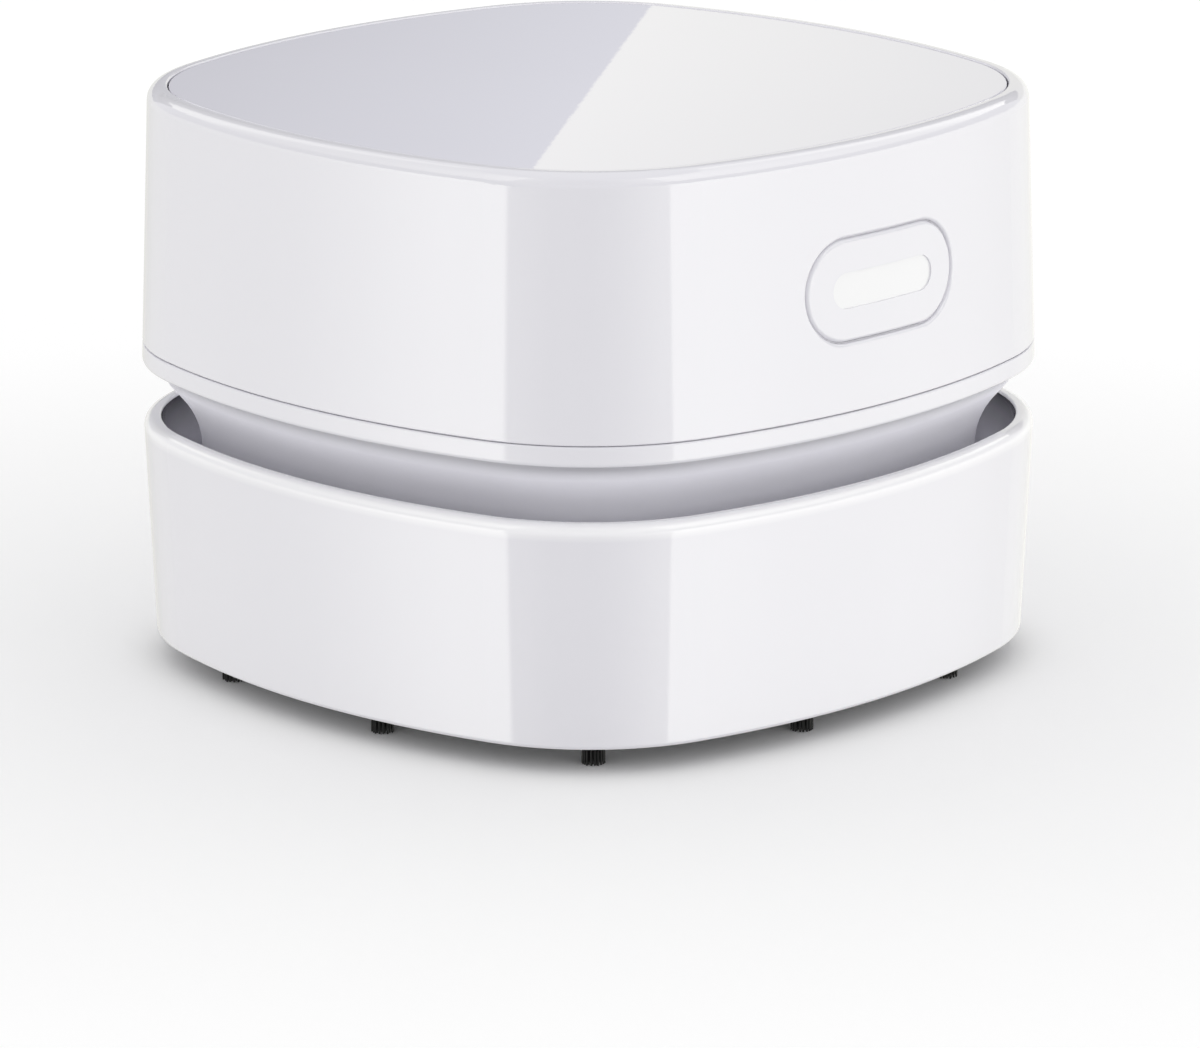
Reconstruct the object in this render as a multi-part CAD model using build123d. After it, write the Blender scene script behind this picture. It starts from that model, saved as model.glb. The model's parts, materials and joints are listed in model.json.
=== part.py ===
"""Desktop mini vacuum cleaner: a battery and fan module that stands on an open dust cup with a bristle foot.

Millimetres, +Z up. The origin is the middle of the plane of the bristle tips, so z = 0 is the table.
The flats face +X, -X, +Y and -Y, and the power button is in the middle of the front flat, which faces -Y.
"""
from build123d import *
import os
from math import atan2, cos, degrees, radians, sin, sqrt, tan

# ---------------------------------------------------------------- driving dimensions
# The outline: four corner arcs and four shallow side arcs. Every wall is a parallel inset of it.
body_width = 85.4           # across the flats at the widest level
corner_radius = 23.3        # of the four corner arcs at the widest level
height = 62.0               # bristle tips to the top ring

# The dust cup and its bristle foot
foot_height = 2.7           # bare bristle under the cup
cup_rim_height = 26.4
cup_rim_inset = 0.05
cup_draft = 0.0435          # inset gained for each millimetre down from the rim
cup_rim_wall = 1.85
cup_foot_wall = 2.15
cup_rim_rounding = 1.1
cup_rim_inside_rounding = 0.2
cup_foot_rounding = 0.5
cup_floor_low = 4.5
cup_floor_high = 6.1
tuft_count = 10
tuft_radius = 1.35
tuft_inset = 5.7
inlet_radius = 11.0
riser_wall = 1.2
riser_top = 10.6

# The waist between the halves
neck_inset = 6.25
neck_wall = 1.6
neck_low = 16.6
cove_start = 22.6
cove_radius = 9.6
cove_angle = 41.0           # how far the cove curves before it runs straight
neck_top_inset = 2.2        # where the waist turns upright, in the shade of the band
neck_top_rounding = 2.0
slot_width = 2.2
slot_low = 17.4
slot_high = 21.8
slots_per_side = 9
slot_pitch = 3.9

# The upper body
band_low = 32.35
band_rounding = 0.5
band_high = 34.52
shell_low = 34.6
line_rounding = 0.2         # of both edges at the line between the band and the shell
shell_draft = 0.0367        # inset gained for each millimetre up from the band
shell_wall = 2.0
shell_top_rounding = 1.6
lid_opening_inset = 3.2
lid_gap = 0.15
lid_thickness = 2.0
lid_top = 61.9
lid_rounding = 0.2          # of the lid's edge and of the opening's
tray_top = 59.4
tray_plate = 1.6

# The power button
button_half_length = 11.0   # of its hole in the shell
button_half_height = 5.45
button_height = 47.15
button_gap = 0.13
button_hole_rounding = 0.35
button_rounding = 0.5
button_travel = 1.0
inlay_half_length = 7.4
inlay_half_height = 1.85
inlay_front = 0.2           # behind the shell's face

# The fan, its motor and the cells
plug_low = 14.5
fan_radius = 26.0
fan_low = 18.2
deck_low = 25.0
deck_high = 26.6
can_radius = 12.2
can_length = 12.3
shaft_radius = 1.0
fit = 0.02                  # radial clearance of a turning or guided shaft
cell_radius = 7.25
cell_length = 50.5
cell_nub = 1.2
cell_nub_radius = 2.75
cell_pitch = 14.9
cell_height = 50.75

# Fasteners
screw_radius = 1.0
screw_head_radius = 1.9
screw_head_height = 1.0
screw_clearance = 0.15      # radial, where a screw passes through a piece
head_clearance = 0.2        # radial, round a sunk screw head
post_radius = 3.2
post_place = 26.0           # the corner posts, from both axes
ear_place = 34.0            # the posts in the middle of each flat, from the axis

# ---------------------------------------------------------------- worked-out sizes
half_width = body_width / 2
side_radius = body_width    # each side arc is struck from the middle of the opposite flat
corner_offset = (sqrt(2 * (side_radius - corner_radius) ** 2 - half_width ** 2) - half_width) / 2
side_span = 2 * degrees(atan2(corner_offset, corner_offset + half_width))
corner_span = 90 - side_span


def cup_outside(z):
    """Inset of the cup's outer wall."""
    return cup_rim_inset + (cup_rim_height - z) * cup_draft


def cup_inside(z):
    """Inset of the cup's inner wall."""
    down = (cup_rim_height - z) / (cup_rim_height - foot_height)
    thickness = cup_rim_wall + (cup_foot_wall - cup_rim_wall) * down
    return cup_outside(z) + thickness


def shell_outside(z):
    """Inset of the upper body's outer wall."""
    return (z - band_low) * shell_draft


def shell_inside(z):
    return shell_outside(z) + shell_wall


# ---------------------------------------------------------------- shapes that follow the outline
def outline_arcs():
    """Centre, radius, start angle and span of the eight arcs, anticlockwise from the front left corner."""
    arcs = []
    for turn in (180, 270, 0, 90):
        corner = Vector(corner_offset, corner_offset, 0).rotate(Axis.Z, turn)
        side = Vector(0, -half_width, 0).rotate(Axis.Z, turn)
        arcs.append((corner, corner_radius, turn + side_span / 2, corner_span))
        arcs.append((side, side_radius, turn + 90 - side_span / 2, side_span))
    return arcs


def outline_edges(inset):
    return [CenterArc(centre, radius - inset, start, span) for centre, radius, start, span in outline_arcs()]


def slab(inset, low, high):
    """A solid plate with the body's outline."""
    return extrude(Pos(0, 0, low) * make_face(outline_edges(inset)), high - low)


def around(section):
    """Carry a section round the outline: section(radius) is its face for an arc of that radius."""
    wedges = []
    for centre, radius, start, span in outline_arcs():
        wedge = revolve(Plane.XZ * section(radius), Axis.Z, span)
        wedges.append(Pos(centre.X, centre.Y, 0) * Rot(0, 0, start) * wedge)
    return Part() + wedges


def ring(points, rounds=None):
    """A wall that follows the outline, from (inset, z) points. rounds maps a point to its rounding."""
    def section(radius):
        face = make_face(Polyline(*[(radius - inset, z) for inset, z in points], close=True))
        for place, rounding in (rounds or {}).items():
            inset, z = points[place]
            corner = face.vertices().sort_by_distance((radius - inset, z, 0))[0]
            face = fillet(corner, rounding)
        return face
    return around(section)


def block(x, y, z):
    """A box from its low and high limits on each axis."""
    centre = [(low + high) / 2 for low, high in (x, y, z)]
    return Pos(*centre) * Box(x[1] - x[0], y[1] - y[0], z[1] - z[0])


def rod(radius, low, high, x=0.0, y=0.0):
    """An upright cylinder."""
    return Pos(x, y, (low + high) / 2) * Cylinder(radius, high - low)


def turned(points):
    """A turned piece about Z from (radius, z) points."""
    return revolve(Plane.XZ * make_face(Polyline(*points, close=True)), Axis.Z)


def corners(distance):
    return [(x, y) for x in (-distance, distance) for y in (-distance, distance)]


def flat_middles(distance):
    return [(distance, 0), (-distance, 0), (0, distance), (0, -distance)]


def bored(part, radius, places, low=-1.0, high=80.0):
    """The part with an upright hole at each place."""
    for x, y in places:
        part -= rod(radius, low, high, x, y)
    return part


def group(solids):
    return Compound(children=list(solids))


def screw(length, head_radius=screw_head_radius, head_height=screw_head_height):
    """A cross-head screw that points down, with its head's seat at z = 0."""
    shank = rod(screw_radius, -length, 0)
    shank = chamfer(shank.edges().sort_by(Axis.Z)[0], screw_radius * 0.4)
    head = rod(head_radius, 0, head_height)
    head = fillet(head.edges().sort_by(Axis.Z)[-1], head_height * 0.3)
    slot = head_radius * 0.62
    cross = Pos(0, 0, head_height) * (Box(2 * slot, 0.5, 1.1) + Box(0.5, 2 * slot, 1.1))
    return shank + head - cross


# ---------------------------------------------------------------- the dust cup
cup_boss_place = 24.0
cup_boss_radius = 2.6
cup_boss_top = 10.4
cup_boss_roof = 1.2         # solid plastic above each blind screw hole
cup_floor_lap = 0.6         # how far the floor runs into the wall
riser_outside = inlet_radius + riser_wall
riser_gap = 0.1             # round the riser in the cup's floor
riser_collar = 2.3
riser_collar_height = 1.0
seat_rib_place = 12.0       # the ribs on the cup's walls that the plug stands on
seat_rib_width = 2.0
plate_high = 4.4
plate_inset = 3.45
tuft_hole_radius = 1.4
channel_count = 8
channel_half_width = 2.0
channel_depth = 0.5
channel_start = riser_outside + 2.0
channel_end = 33.0
foot_screw_seat = foot_height + screw_head_height + 0.1


def dust_cup():
    wall = ring([(cup_outside(foot_height), foot_height), (cup_outside(cup_rim_height), cup_rim_height),
                 (cup_inside(cup_rim_height), cup_rim_height), (cup_inside(foot_height), foot_height)],
                {0: cup_foot_rounding, 1: cup_rim_rounding, 2: cup_rim_inside_rounding})
    floor = slab(cup_inside(foot_height) - cup_floor_lap, cup_floor_low, cup_floor_high)
    floor -= rod(riser_outside + riser_gap, foot_height, cup_boss_top)
    bosses = [rod(cup_boss_radius, cup_floor_low, cup_boss_top, x, y)
              for x, y in corners(cup_boss_place)]
    ribs = []
    for turn in (0, 90, 180, 270):
        for x in (-seat_rib_place, seat_rib_place):
            rib = block((x - seat_rib_width / 2, x + seat_rib_width / 2),
                        (half_width - 5.6, half_width - 2.4), (cup_floor_low, plug_low))
            ribs.append(Rot(0, 0, turn) * rib)
    cup = wall + floor + bosses + ribs
    return bored(cup, screw_radius + fit, corners(cup_boss_place), foot_height, cup_boss_top - cup_boss_roof)


def inlet_riser():
    """The suction tube: a bell mouth underneath, a collar on the cup's floor and a rounded lip on top."""
    low = foot_height + 0.1
    collar_top = cup_floor_high + riser_collar_height
    collar_radius = riser_outside + riser_collar
    tube = turned([(inlet_radius, low), (riser_outside, low), (riser_outside, cup_floor_high),
                   (collar_radius, cup_floor_high), (collar_radius, collar_top), (riser_outside, collar_top),
                   (riser_outside, riser_top), (inlet_radius, riser_top)])
    tube = fillet(tube.edges().filter_by(GeomType.CIRCLE).group_by(Axis.Z)[-1], 0.5)
    mouth = tube.edges().filter_by(GeomType.CIRCLE).group_by(Axis.Z)[0].sort_by(SortBy.RADIUS)[0]
    return chamfer(mouth, 0.9)


def tuft_places():
    """Evenly spaced along the inset outline, starting at the middle of the front left corner."""
    path = Wire([edge.edge() for edge in outline_edges(tuft_inset)])
    first = (corner_radius - tuft_inset) * radians(corner_span) / 2 / path.length
    return [path.position_at((first + place / tuft_count) % 1) for place in range(tuft_count)]


def brush_plate():
    """The foot plate under the cup: it carries the bristles and has shallow air channels to the inlet."""
    plate = slab(plate_inset, foot_height, plate_high)
    plate = bored(plate, riser_outside + riser_gap, [(0, 0)])
    plate = bored(plate, screw_radius + screw_clearance, corners(cup_boss_place))
    plate = bored(plate, screw_head_radius + head_clearance, corners(cup_boss_place), high=foot_screw_seat)
    plate = bored(plate, tuft_hole_radius, [(place.X, place.Y) for place in tuft_places()])
    channel = block((channel_start, channel_end), (-channel_half_width, channel_half_width),
                    (0, foot_height + channel_depth))
    step = 360 / channel_count
    return plate - [Rot(0, 0, (place + 0.5) * step) * channel for place in range(channel_count)]


def bristle_tufts():
    return group(rod(tuft_radius, 0, plate_high, place.X, place.Y) for place in tuft_places())


def base_screws():
    """They point up, through the foot plate into the cup's bosses."""
    return group(Pos(x, y, foot_screw_seat) * Rot(180, 0, 0) * screw(5.0)
                 for x, y in corners(cup_boss_place))


# ---------------------------------------------------------------- the waist and the fan housing
def neck_section(radius):
    """Wall of the waist: upright, then a cove that flares out, then upright again under the band."""
    centre_inset = neck_inset - cove_radius
    slope = tan(radians(cove_angle))

    def on_arc(arc_radius, angle):
        return (radius - centre_inset - arc_radius * cos(radians(angle)),
                cove_start + arc_radius * sin(radians(angle)))

    outer = [on_arc(cove_radius, angle) for angle in (0, cove_angle / 2, cove_angle)]
    inner = [on_arc(cove_radius + neck_wall, angle) for angle in (0, cove_angle / 2, cove_angle)]
    flare_x = radius - neck_top_inset
    flare_z = outer[2][1] + (flare_x - outer[2][0]) / slope
    inner_z = band_low - 1.2
    inner_x = inner[2][0] + (inner_z - inner[2][1]) * slope
    foot_outer = (radius - neck_inset, neck_low)
    foot_inner = (radius - neck_inset - neck_wall, neck_low)
    wall = make_face([
        Line(foot_outer, outer[0]), ThreePointArc(*outer), Line(outer[2], (flare_x, flare_z)),
        Line((flare_x, flare_z), (flare_x, band_low)), Line((flare_x, band_low), (inner_x, band_low)),
        Line((inner_x, band_low), (inner_x, inner_z)), Line((inner_x, inner_z), inner[2]),
        ThreePointArc(*reversed(inner)), Line(inner[0], foot_inner), Line(foot_inner, foot_outer)])
    turn = wall.vertices().sort_by_distance((flare_x, flare_z, 0))[0]
    return fillet(turn, neck_top_rounding)


def neck_housing():
    """The glossy waist. Air leaves the fan through the slots in its skirt, low behind the cup's rim."""
    posts = [rod(post_radius, neck_low, deck_low, x, y) for x, y in corners(post_place)]
    ears = [rod(post_radius, ear_low, band_low, x, y) for x, y in flat_middles(ear_place)]
    neck = around(neck_section) + posts + ears
    wall_middle = half_width - neck_inset - neck_wall / 2
    slots = []
    for turn in (0, 90, 180, 270):
        for place in range(slots_per_side):
            x = (place - (slots_per_side - 1) / 2) * slot_pitch
            slot = block((x - slot_width / 2, x + slot_width / 2), (wall_middle - 4, wall_middle + 4),
                         (slot_low, slot_high))
            slots.append(Rot(0, 0, turn) * slot)
    neck = bored(neck - slots, screw_radius + fit, corners(post_place), neck_low - 1, deck_low + 1)
    return bored(neck, screw_radius + fit, flat_middles(ear_place), ear_low + 1, band_low + 1)


ear_low = 28.0              # underside of the posts in the middle of each flat
plug_high = neck_low
plug_gap = 0.3              # between the plug and the cup's wall
filter_hole_radius = 21.0
seal_groove_inset = 4.3
seal_low = 14.9
seal_high = 16.2
seal_gap = 0.08             # between the seal's lip and the cup's wall


def fan_cover():
    """The plug that closes the fan housing and seats in the cup. The filter clips into its middle."""
    plate = slab(cup_inside(plug_low) + plug_gap, plug_low, plug_high)
    plate -= ring([(0, seal_low), (0, seal_high),
                   (seal_groove_inset, seal_high), (seal_groove_inset, seal_low)])
    plate = bored(plate, filter_hole_radius, [(0, 0)])
    plate = bored(plate, screw_radius + screw_clearance, corners(post_place))
    return bored(plate, screw_head_radius + head_clearance, corners(post_place),
                 high=plug_low + screw_head_height)


def cup_seal():
    """A rubber ring in the plug's groove, just short of the cup's wall."""
    lip = cup_inside(seal_low) + seal_gap
    low = seal_low + 0.05
    high = seal_high - 0.05
    return ring([(seal_groove_inset, low), (seal_groove_inset, high), (lip, high), (lip, low)],
                {2: 0.45, 3: 0.45})


filter_low = 13.6
filter_radius = 19.1
grille_high = filter_low + 1.0
grille_hub_radius = 3.2
grille_circles = (8.6, 14.0)
grille_bar = 1.2


def filter_frame():
    """A clip-in ring with a collar under the plug and a grille of spokes and circles under the filter pad."""
    outer = filter_hole_radius - 0.1
    inner = filter_radius + 0.1
    frame = turned([(inner, filter_low), (outer + 1.5, filter_low), (outer + 1.5, plug_low),
                    (outer, plug_low), (outer, plug_high - 0.2), (inner, plug_high - 0.2)])
    spoke = block((-inner - 0.2, inner + 0.2), (-0.8, 0.8), (filter_low, grille_high))
    spokes = [Rot(0, 0, turn) * spoke for turn in (0, 45, 90, 135)]
    circles = [rod(radius + grille_bar / 2, filter_low, grille_high)
               - rod(radius - grille_bar / 2, 0, plug_high) for radius in grille_circles]
    return frame + spokes + rod(grille_hub_radius, filter_low, grille_high) + circles


def filter_pad():
    return rod(filter_radius, grille_high + 0.05, plug_high - 0.25)


def fan_cover_screws():
    return group(Pos(x, y, plug_low + screw_head_height) * Rot(180, 0, 0) * screw(5.5)
                 for x, y in corners(post_place))


# ---------------------------------------------------------------- the fan and its motor
motor_screw_place = 8.0
motor_screw_places = [(-motor_screw_place, 0), (motor_screw_place, 0)]
collar_high = deck_high + 3.4
boss_radius = 3.1
boss_height = 0.9
bush_radius = 2.1
can_wall = 0.8
can_top = deck_high + can_length
end_cap_height = 2.0
shaft_low = 18.8
shaft_high = can_top + 0.3


def motor_deck():
    """Roof of the fan chamber, with a collar that centres the motor."""
    deck = slab(neck_inset + neck_wall + 0.15, deck_low, deck_high)
    deck += rod(can_radius + 1.3, deck_high - 0.1, collar_high) - rod(can_radius + 0.1, deck_low, collar_high)
    deck = bored(deck, boss_radius + 0.1, [(0, 0)])
    return bored(deck, screw_radius + screw_clearance, motor_screw_places + corners(post_place))


def deck_screws():
    return group(Pos(x, y, deck_high) * screw(3.6) for x, y in corners(post_place))


def motor_screws():
    """Two short screws through the deck into the motor's face."""
    return group(Pos(x, y, deck_low) * Rot(180, 0, 0) * screw(deck_high - deck_low + can_wall, 1.7, 0.6)
                 for x, y in motor_screw_places)


def motor_can():
    can = turned([(bush_radius, deck_high - boss_height), (boss_radius, deck_high - boss_height),
                  (boss_radius, deck_high), (can_radius, deck_high), (can_radius, can_top - 0.3),
                  (can_radius - can_wall, can_top - 0.3), (can_radius - can_wall, deck_high + can_wall),
                  (bush_radius, deck_high + can_wall)])
    return bored(can, screw_radius + fit, motor_screw_places, high=can_top - 5)


def motor_bushes():
    """Plain bronze bearings in the can's face and in the end cap."""
    lower = rod(bush_radius, deck_high - boss_height, deck_high + 1.4)
    upper = rod(bush_radius, can_top - end_cap_height + 0.2, can_top - 0.2)
    bore = rod(shaft_radius + fit, 0, 60)
    return group([lower - bore, upper - bore])


def motor_end_cap():
    cap = rod(can_radius - can_wall, can_top - end_cap_height, can_top)
    cap -= rod(bush_radius, can_top - end_cap_height - 1, can_top - 0.2)
    cap -= rod(shaft_radius + 0.4, 0, 60)
    return cap - [terminal(x) for x, y in motor_screw_places]


terminal_top = can_top + 2.4


def terminal(x):
    return block((x - 0.25, x + 0.25), (-1.1, 1.1), (can_top - end_cap_height, terminal_top))


def motor_terminals():
    """Two brass tabs that stand out of the end cap."""
    return group(terminal(x) for x, y in motor_screw_places)


def motor_magnets():
    """Two arc magnets inside the can."""
    outer = can_radius - can_wall
    pipe = rod(outer, deck_high + 1.6, can_top - 2.8) - rod(outer - 1.5, deck_high, can_top)
    gap = block((-2.5, 2.5), (-outer, outer), (deck_high, can_top))
    return group((pipe - gap).solids())


core_low = deck_high + 2.4
core_high = can_top - 3.6
core_radius = 9.5


def armature_core():
    """Three laminated poles on the shaft."""
    shoes = rod(core_radius, core_low, core_high) - rod(core_radius - 1.4, 0, 60)
    for turn in (0, 120, 240):
        shoes -= Rot(0, 0, turn + 60) * block((0, 20), (-1.2, 1.2), (0, 60))
    arms = Part() + [Rot(0, 0, turn) * block((0, core_radius - 0.8), (-1.1, 1.1), (core_low, core_high))
                     for turn in (0, 120, 240)]
    hub = rod(2.6, core_low, core_high)
    return shoes + arms + hub - rod(shaft_radius, 0, 60)


def armature_windings():
    """One copper coil round each pole."""
    coils = []
    for turn in (0, 120, 240):
        coil = block((3.6, core_radius - 2.3), (-3.0, 3.0), (core_low - 0.5, core_high + 0.5))
        coil = fillet(coil.edges().filter_by(Axis.X), 1.0)
        coil -= block((0, 20), (-1.15, 1.15), (core_low - 0.05, core_high + 0.05))
        coils.append(Rot(0, 0, turn) * coil)
    return group(coils)


def commutator():
    barrel = rod(2.1, core_high + 0.6, can_top - end_cap_height - 0.3)
    for turn in (30, 90, 150):
        barrel -= Rot(0, 0, turn) * block((1.7, 3), (-0.15, 0.15), (0, 60))
        barrel -= Rot(0, 0, turn + 180) * block((1.7, 3), (-0.15, 0.15), (0, 60))
    return barrel - rod(shaft_radius, 0, 60)


def motor_shaft():
    shaft = rod(shaft_radius, shaft_low, shaft_high)
    return chamfer(shaft.edges().filter_by(GeomType.CIRCLE), 0.2)


blade_count = 11
hub_radius = 3.4
disc_low = 23.2
disc_high = 24.2


def impeller():
    """A centrifugal fan: curved blades under a disc throw the air out through the slots."""
    disc = rod(fan_radius, disc_low, disc_high)
    hub = rod(hub_radius, fan_low, disc_high + 0.3)
    hub = fillet(hub.edges().group_by(Axis.Z)[0], 0.8)
    blades = []
    for blade in range(blade_count):
        line = ThreePointArc(Vector(9.0, 0, 0), Vector(17.4, 0, 0).rotate(Axis.Z, -9),
                             Vector(fan_radius - 0.5, 0, 0).rotate(Axis.Z, -32))
        face = Pos(0, 0, fan_low) * trace(line, 0.9)
        blades.append(Rot(0, 0, blade * 360 / blade_count) * extrude(face, disc_high - fan_low - 0.5))
    collar = rod(hub_radius + 1.6, disc_low - 1.0, disc_high)
    return disc + hub + collar + blades - rod(shaft_radius, 0, 60)


# ---------------------------------------------------------------- the upper body
pillar_place = 26.3
pillar_hole_depth = 7.0
ledge_high = tray_top - tray_plate
ledge_low = ledge_high - 1.5
ledge_inset = 5.6
ring_inset = 14.0
ring_floor = 34.4


def capsule(half_length, half_height, front, back):
    """An upright capsule plate in the front wall, between two places on Y."""
    face = SlotOverall(2 * half_length, 2 * half_height)
    return Pos(0, back, button_height) * Rot(90, 0, 0) * extrude(face, back - front)


def upper_shell():
    """The outer wall with the rounded top ring, the ledge for the tray and the hole for the button."""
    wall = ring([(shell_outside(shell_low), shell_low), (shell_outside(height), height),
                 (lid_opening_inset, height), (lid_opening_inset, ledge_high), (ledge_inset, ledge_high),
                 (ledge_inset, ledge_low), (shell_inside(ledge_low), ledge_low),
                 (shell_inside(shell_low), shell_low)],
                {0: line_rounding, 1: shell_top_rounding, 2: lid_rounding})
    wall -= capsule(button_half_length, button_half_height, -50, -34)
    face = -half_width + shell_outside(button_height)
    rim = wall.edges().filter_by(lambda edge: edge.center().Y < face + 0.9
                                 and abs(edge.center().X) < button_half_length + 0.1
                                 and abs(edge.center().Z - button_height) < button_half_height + 0.1)
    return fillet(rim, button_hole_rounding)


def chassis_ring():
    """The bright band under the shell, the floor behind it and the pillars that carry the tray."""
    lip_outer = shell_inside(shell_low) + 0.15
    band = ring([(0, band_low), (shell_outside(band_high), band_high), (0.6, band_high), (0.6, shell_low),
                 (lip_outer, shell_low), (lip_outer, shell_low + 2.4), (lip_outer + 1.3, shell_low + 2.4),
                 (lip_outer + 1.3, ring_floor), (ring_inset, ring_floor), (ring_inset, band_low)],
                {0: band_rounding, 1: line_rounding})
    band += [rod(post_radius, band_low, ledge_high, x, y) for x, y in corners(pillar_place)]
    band = bored(band, screw_radius + fit, corners(pillar_place), low=ledge_high - pillar_hole_depth)
    return bored(band, screw_radius + screw_clearance, flat_middles(ear_place))


def chassis_screws():
    return group(Pos(x, y, ring_floor) * screw(4.6) for x, y in flat_middles(ear_place))


# ---------------------------------------------------------------- the battery tray
bay_half_length = 27.4
bay_half_width = 15.1
bay_floor = 43.2
bay_wall = 1.2
rib_height = 2.4            # of the rib between the two cells
bay_low = bay_floor - bay_wall
contact_thickness = 0.4
contact_half_width = 5.2
contact_high = 56.4
contact_wire = 0.3          # wire radius of the contact coils
contact_coil_radius = 3.2
contact_coil_turns = 3
tail_height = 44.3
tail_place = bay_half_length + bay_wall + 1.2
tab_half_length = 4.0
tab_place = 35.8
tab_half_thickness = 0.6
arm_inside = 11.6
arm_outside = 14.2
arm_front = -31.0
board_back = -28.4
board_front = -29.6
board_low = 42.75
board_high = 54.25
board_half_length = 13.0


def battery_tray():
    """A plate that drops into the shell's top, with the bay for two cells and two arms for the board."""
    tray = slab(lid_opening_inset + 0.15, ledge_high, tray_top)
    outer_x = bay_half_length + bay_wall
    outer_y = bay_half_width + bay_wall
    tray += block((-outer_x, outer_x), (-outer_y, outer_y), (bay_low, ledge_high + 0.1))
    for side in (-1, 1):
        edges = sorted((side * arm_inside, side * arm_outside))
        tray += block(edges, (arm_front, -outer_y + 0.2), (bay_low, 50.0))
    bay = block((-bay_half_length, bay_half_length), (-bay_half_width, bay_half_width), (bay_floor, 70))
    tray -= bay
    rib = block((-bay_half_length, bay_half_length), (-1.4, 1.4), (bay_floor - 0.1, bay_floor + rib_height))
    tray += chamfer(rib.edges().filter_by(Axis.X).group_by(Axis.Z)[-1], 0.8)
    for side in (-1, 1):
        slot = sorted((side * (arm_inside - 1), side * (board_half_length + 0.05)))
        tray -= block(slot, (board_front - 0.05, board_back + 0.05), (board_low, 60))
        y = side * cell_pitch / 2
        tray -= block((-outer_x - 1, -bay_half_length + 1), (y - 1.4, y + 1.4),
                      (tail_height - 0.3, tail_height + 0.3))
    tray = bored(tray, screw_radius + screw_clearance, corners(pillar_place))
    tray = bored(tray, screw_head_radius + head_clearance, corners(pillar_place),
                 low=tray_top - screw_head_height)
    for turn in (0, 90, 180, 270):
        slot = block((-tab_half_length - 0.4, tab_half_length + 0.4),
                     (tab_place - tab_half_thickness - 0.3, tab_place + tab_half_thickness + 0.3), (50, 70))
        tray -= Rot(0, 0, turn) * slot
    return tray


def tray_screws():
    return group(Pos(x, y, tray_top - screw_head_height) * screw(5.5, head_height=screw_head_height - 0.1)
                 for x, y in corners(pillar_place))


def battery_lid():
    """The flush top plate: it lifts straight off, and four tabs locate it in the tray."""
    low = lid_top - lid_thickness
    inset = lid_opening_inset + lid_gap
    plate = slab(inset, low, lid_top)
    plate = fillet(plate.edges().group_by(Axis.Z)[-1], lid_rounding)
    rim = ring([(inset + 2.0, tray_top), (inset + 2.0, low + 0.1),
                (inset + 3.2, low + 0.1), (inset + 3.2, tray_top)])
    tabs = []
    for turn in (0, 90, 180, 270):
        tab = block((-tab_half_length, tab_half_length),
                    (tab_place - tab_half_thickness, tab_place + tab_half_thickness), (56.8, low + 0.1))
        tab = chamfer(tab.edges().group_by(Axis.Z)[0].filter_by(Axis.X), 0.35)
        tabs.append(Rot(0, 0, turn) * tab)
    return plate + rim + tabs


def battery_cell(side):
    """One cell on its side. side +1 lies at +Y with its nub towards +X, -1 the other way round."""
    body = cell_length - cell_nub
    cell = revolve(Plane.XZ * make_face(Polyline(
        (0, 0), (cell_radius - 1.4, 0), (cell_radius - 1.4, 0.25), (cell_radius - 0.5, 0.25),
        (cell_radius, 0.75),
        (cell_radius, body - 0.75), (cell_radius - 0.5, body - 0.25), (cell_radius - 1.6, body - 0.25),
        (cell_radius - 1.6, body), (cell_nub_radius, body), (cell_nub_radius, cell_length), (0, cell_length),
        close=True)), Axis.Z)
    start = bay_half_length - contact_thickness - cell_length
    lying = Pos(start, 0, 0) * Rot(0, 90, 0) * cell
    return Pos(0, side * cell_pitch / 2, cell_height) * Rot(0, 0, 0 if side > 0 else 180) * lying


def contact_plate(y):
    """A sheet metal plate against the end wall at -X, in line with one cell."""
    outer = -bay_half_length
    return block((outer, outer + contact_thickness), (y - contact_half_width, y + contact_half_width),
                 (bay_floor + 0.4, contact_high))


def contact_tail(y):
    """The strip that goes out through the end wall to its wire."""
    return block((-tail_place, -bay_half_length + 0.2), (y - 1.2, y + 1.2),
                 (tail_height - 0.2, tail_height + 0.2))


def contact_spring(y, side):
    """A coil between a contact plate and the flat end of a cell. side is the end wall, -1 or +1."""
    gap = 2 * (bay_half_length - contact_thickness) - cell_length
    length = gap - 2 * contact_wire
    coil = sweep(Plane(origin=(contact_coil_radius, 0, 0), z_dir=(0, 1, 0)) * Circle(contact_wire),
                 Helix(length / contact_coil_turns, length, contact_coil_radius), is_frenet=True)
    lying = Rot(0, 90, 0) * Pos(0, 0, contact_wire) * coil
    at_wall = Pos(-bay_half_length + contact_thickness, -side * y, cell_height) * lying
    return at_wall if side < 0 else Rot(0, 0, 180) * at_wall


def contact_negative():
    y = cell_pitch / 2
    return group([contact_plate(y) + contact_tail(y), contact_spring(y, -1)])


def contact_positive():
    y = -cell_pitch / 2
    return contact_plate(y) + contact_tail(y)


def contact_bridge():
    """One plate across both cells at +X, with a coil for the second cell."""
    y = cell_pitch / 2
    plate = block((bay_half_length - contact_thickness, bay_half_length),
                  (-y - contact_half_width, y + contact_half_width),
                  (bay_floor + rib_height + 0.4, contact_high))
    return group([plate, contact_spring(-y, 1)])


# ---------------------------------------------------------------- the power button and its switch
flange_front_inset = shell_wall + 0.35
flange_thickness = 1.0
flange_lap = 0.9            # how far the flange reaches past the hole's edge in the shell
switch_half = 4.0
switch_front = -35.4
stem_radius = 1.7
spring_radius = 2.5
button_spring_wire = 0.15   # wire radius
button_spring_turns = 2.5
pocket_depth = 1.5
cap_boss_radius = 3.4
cap_boss_length = 2.4
cap_boss_back = -37.6


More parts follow.
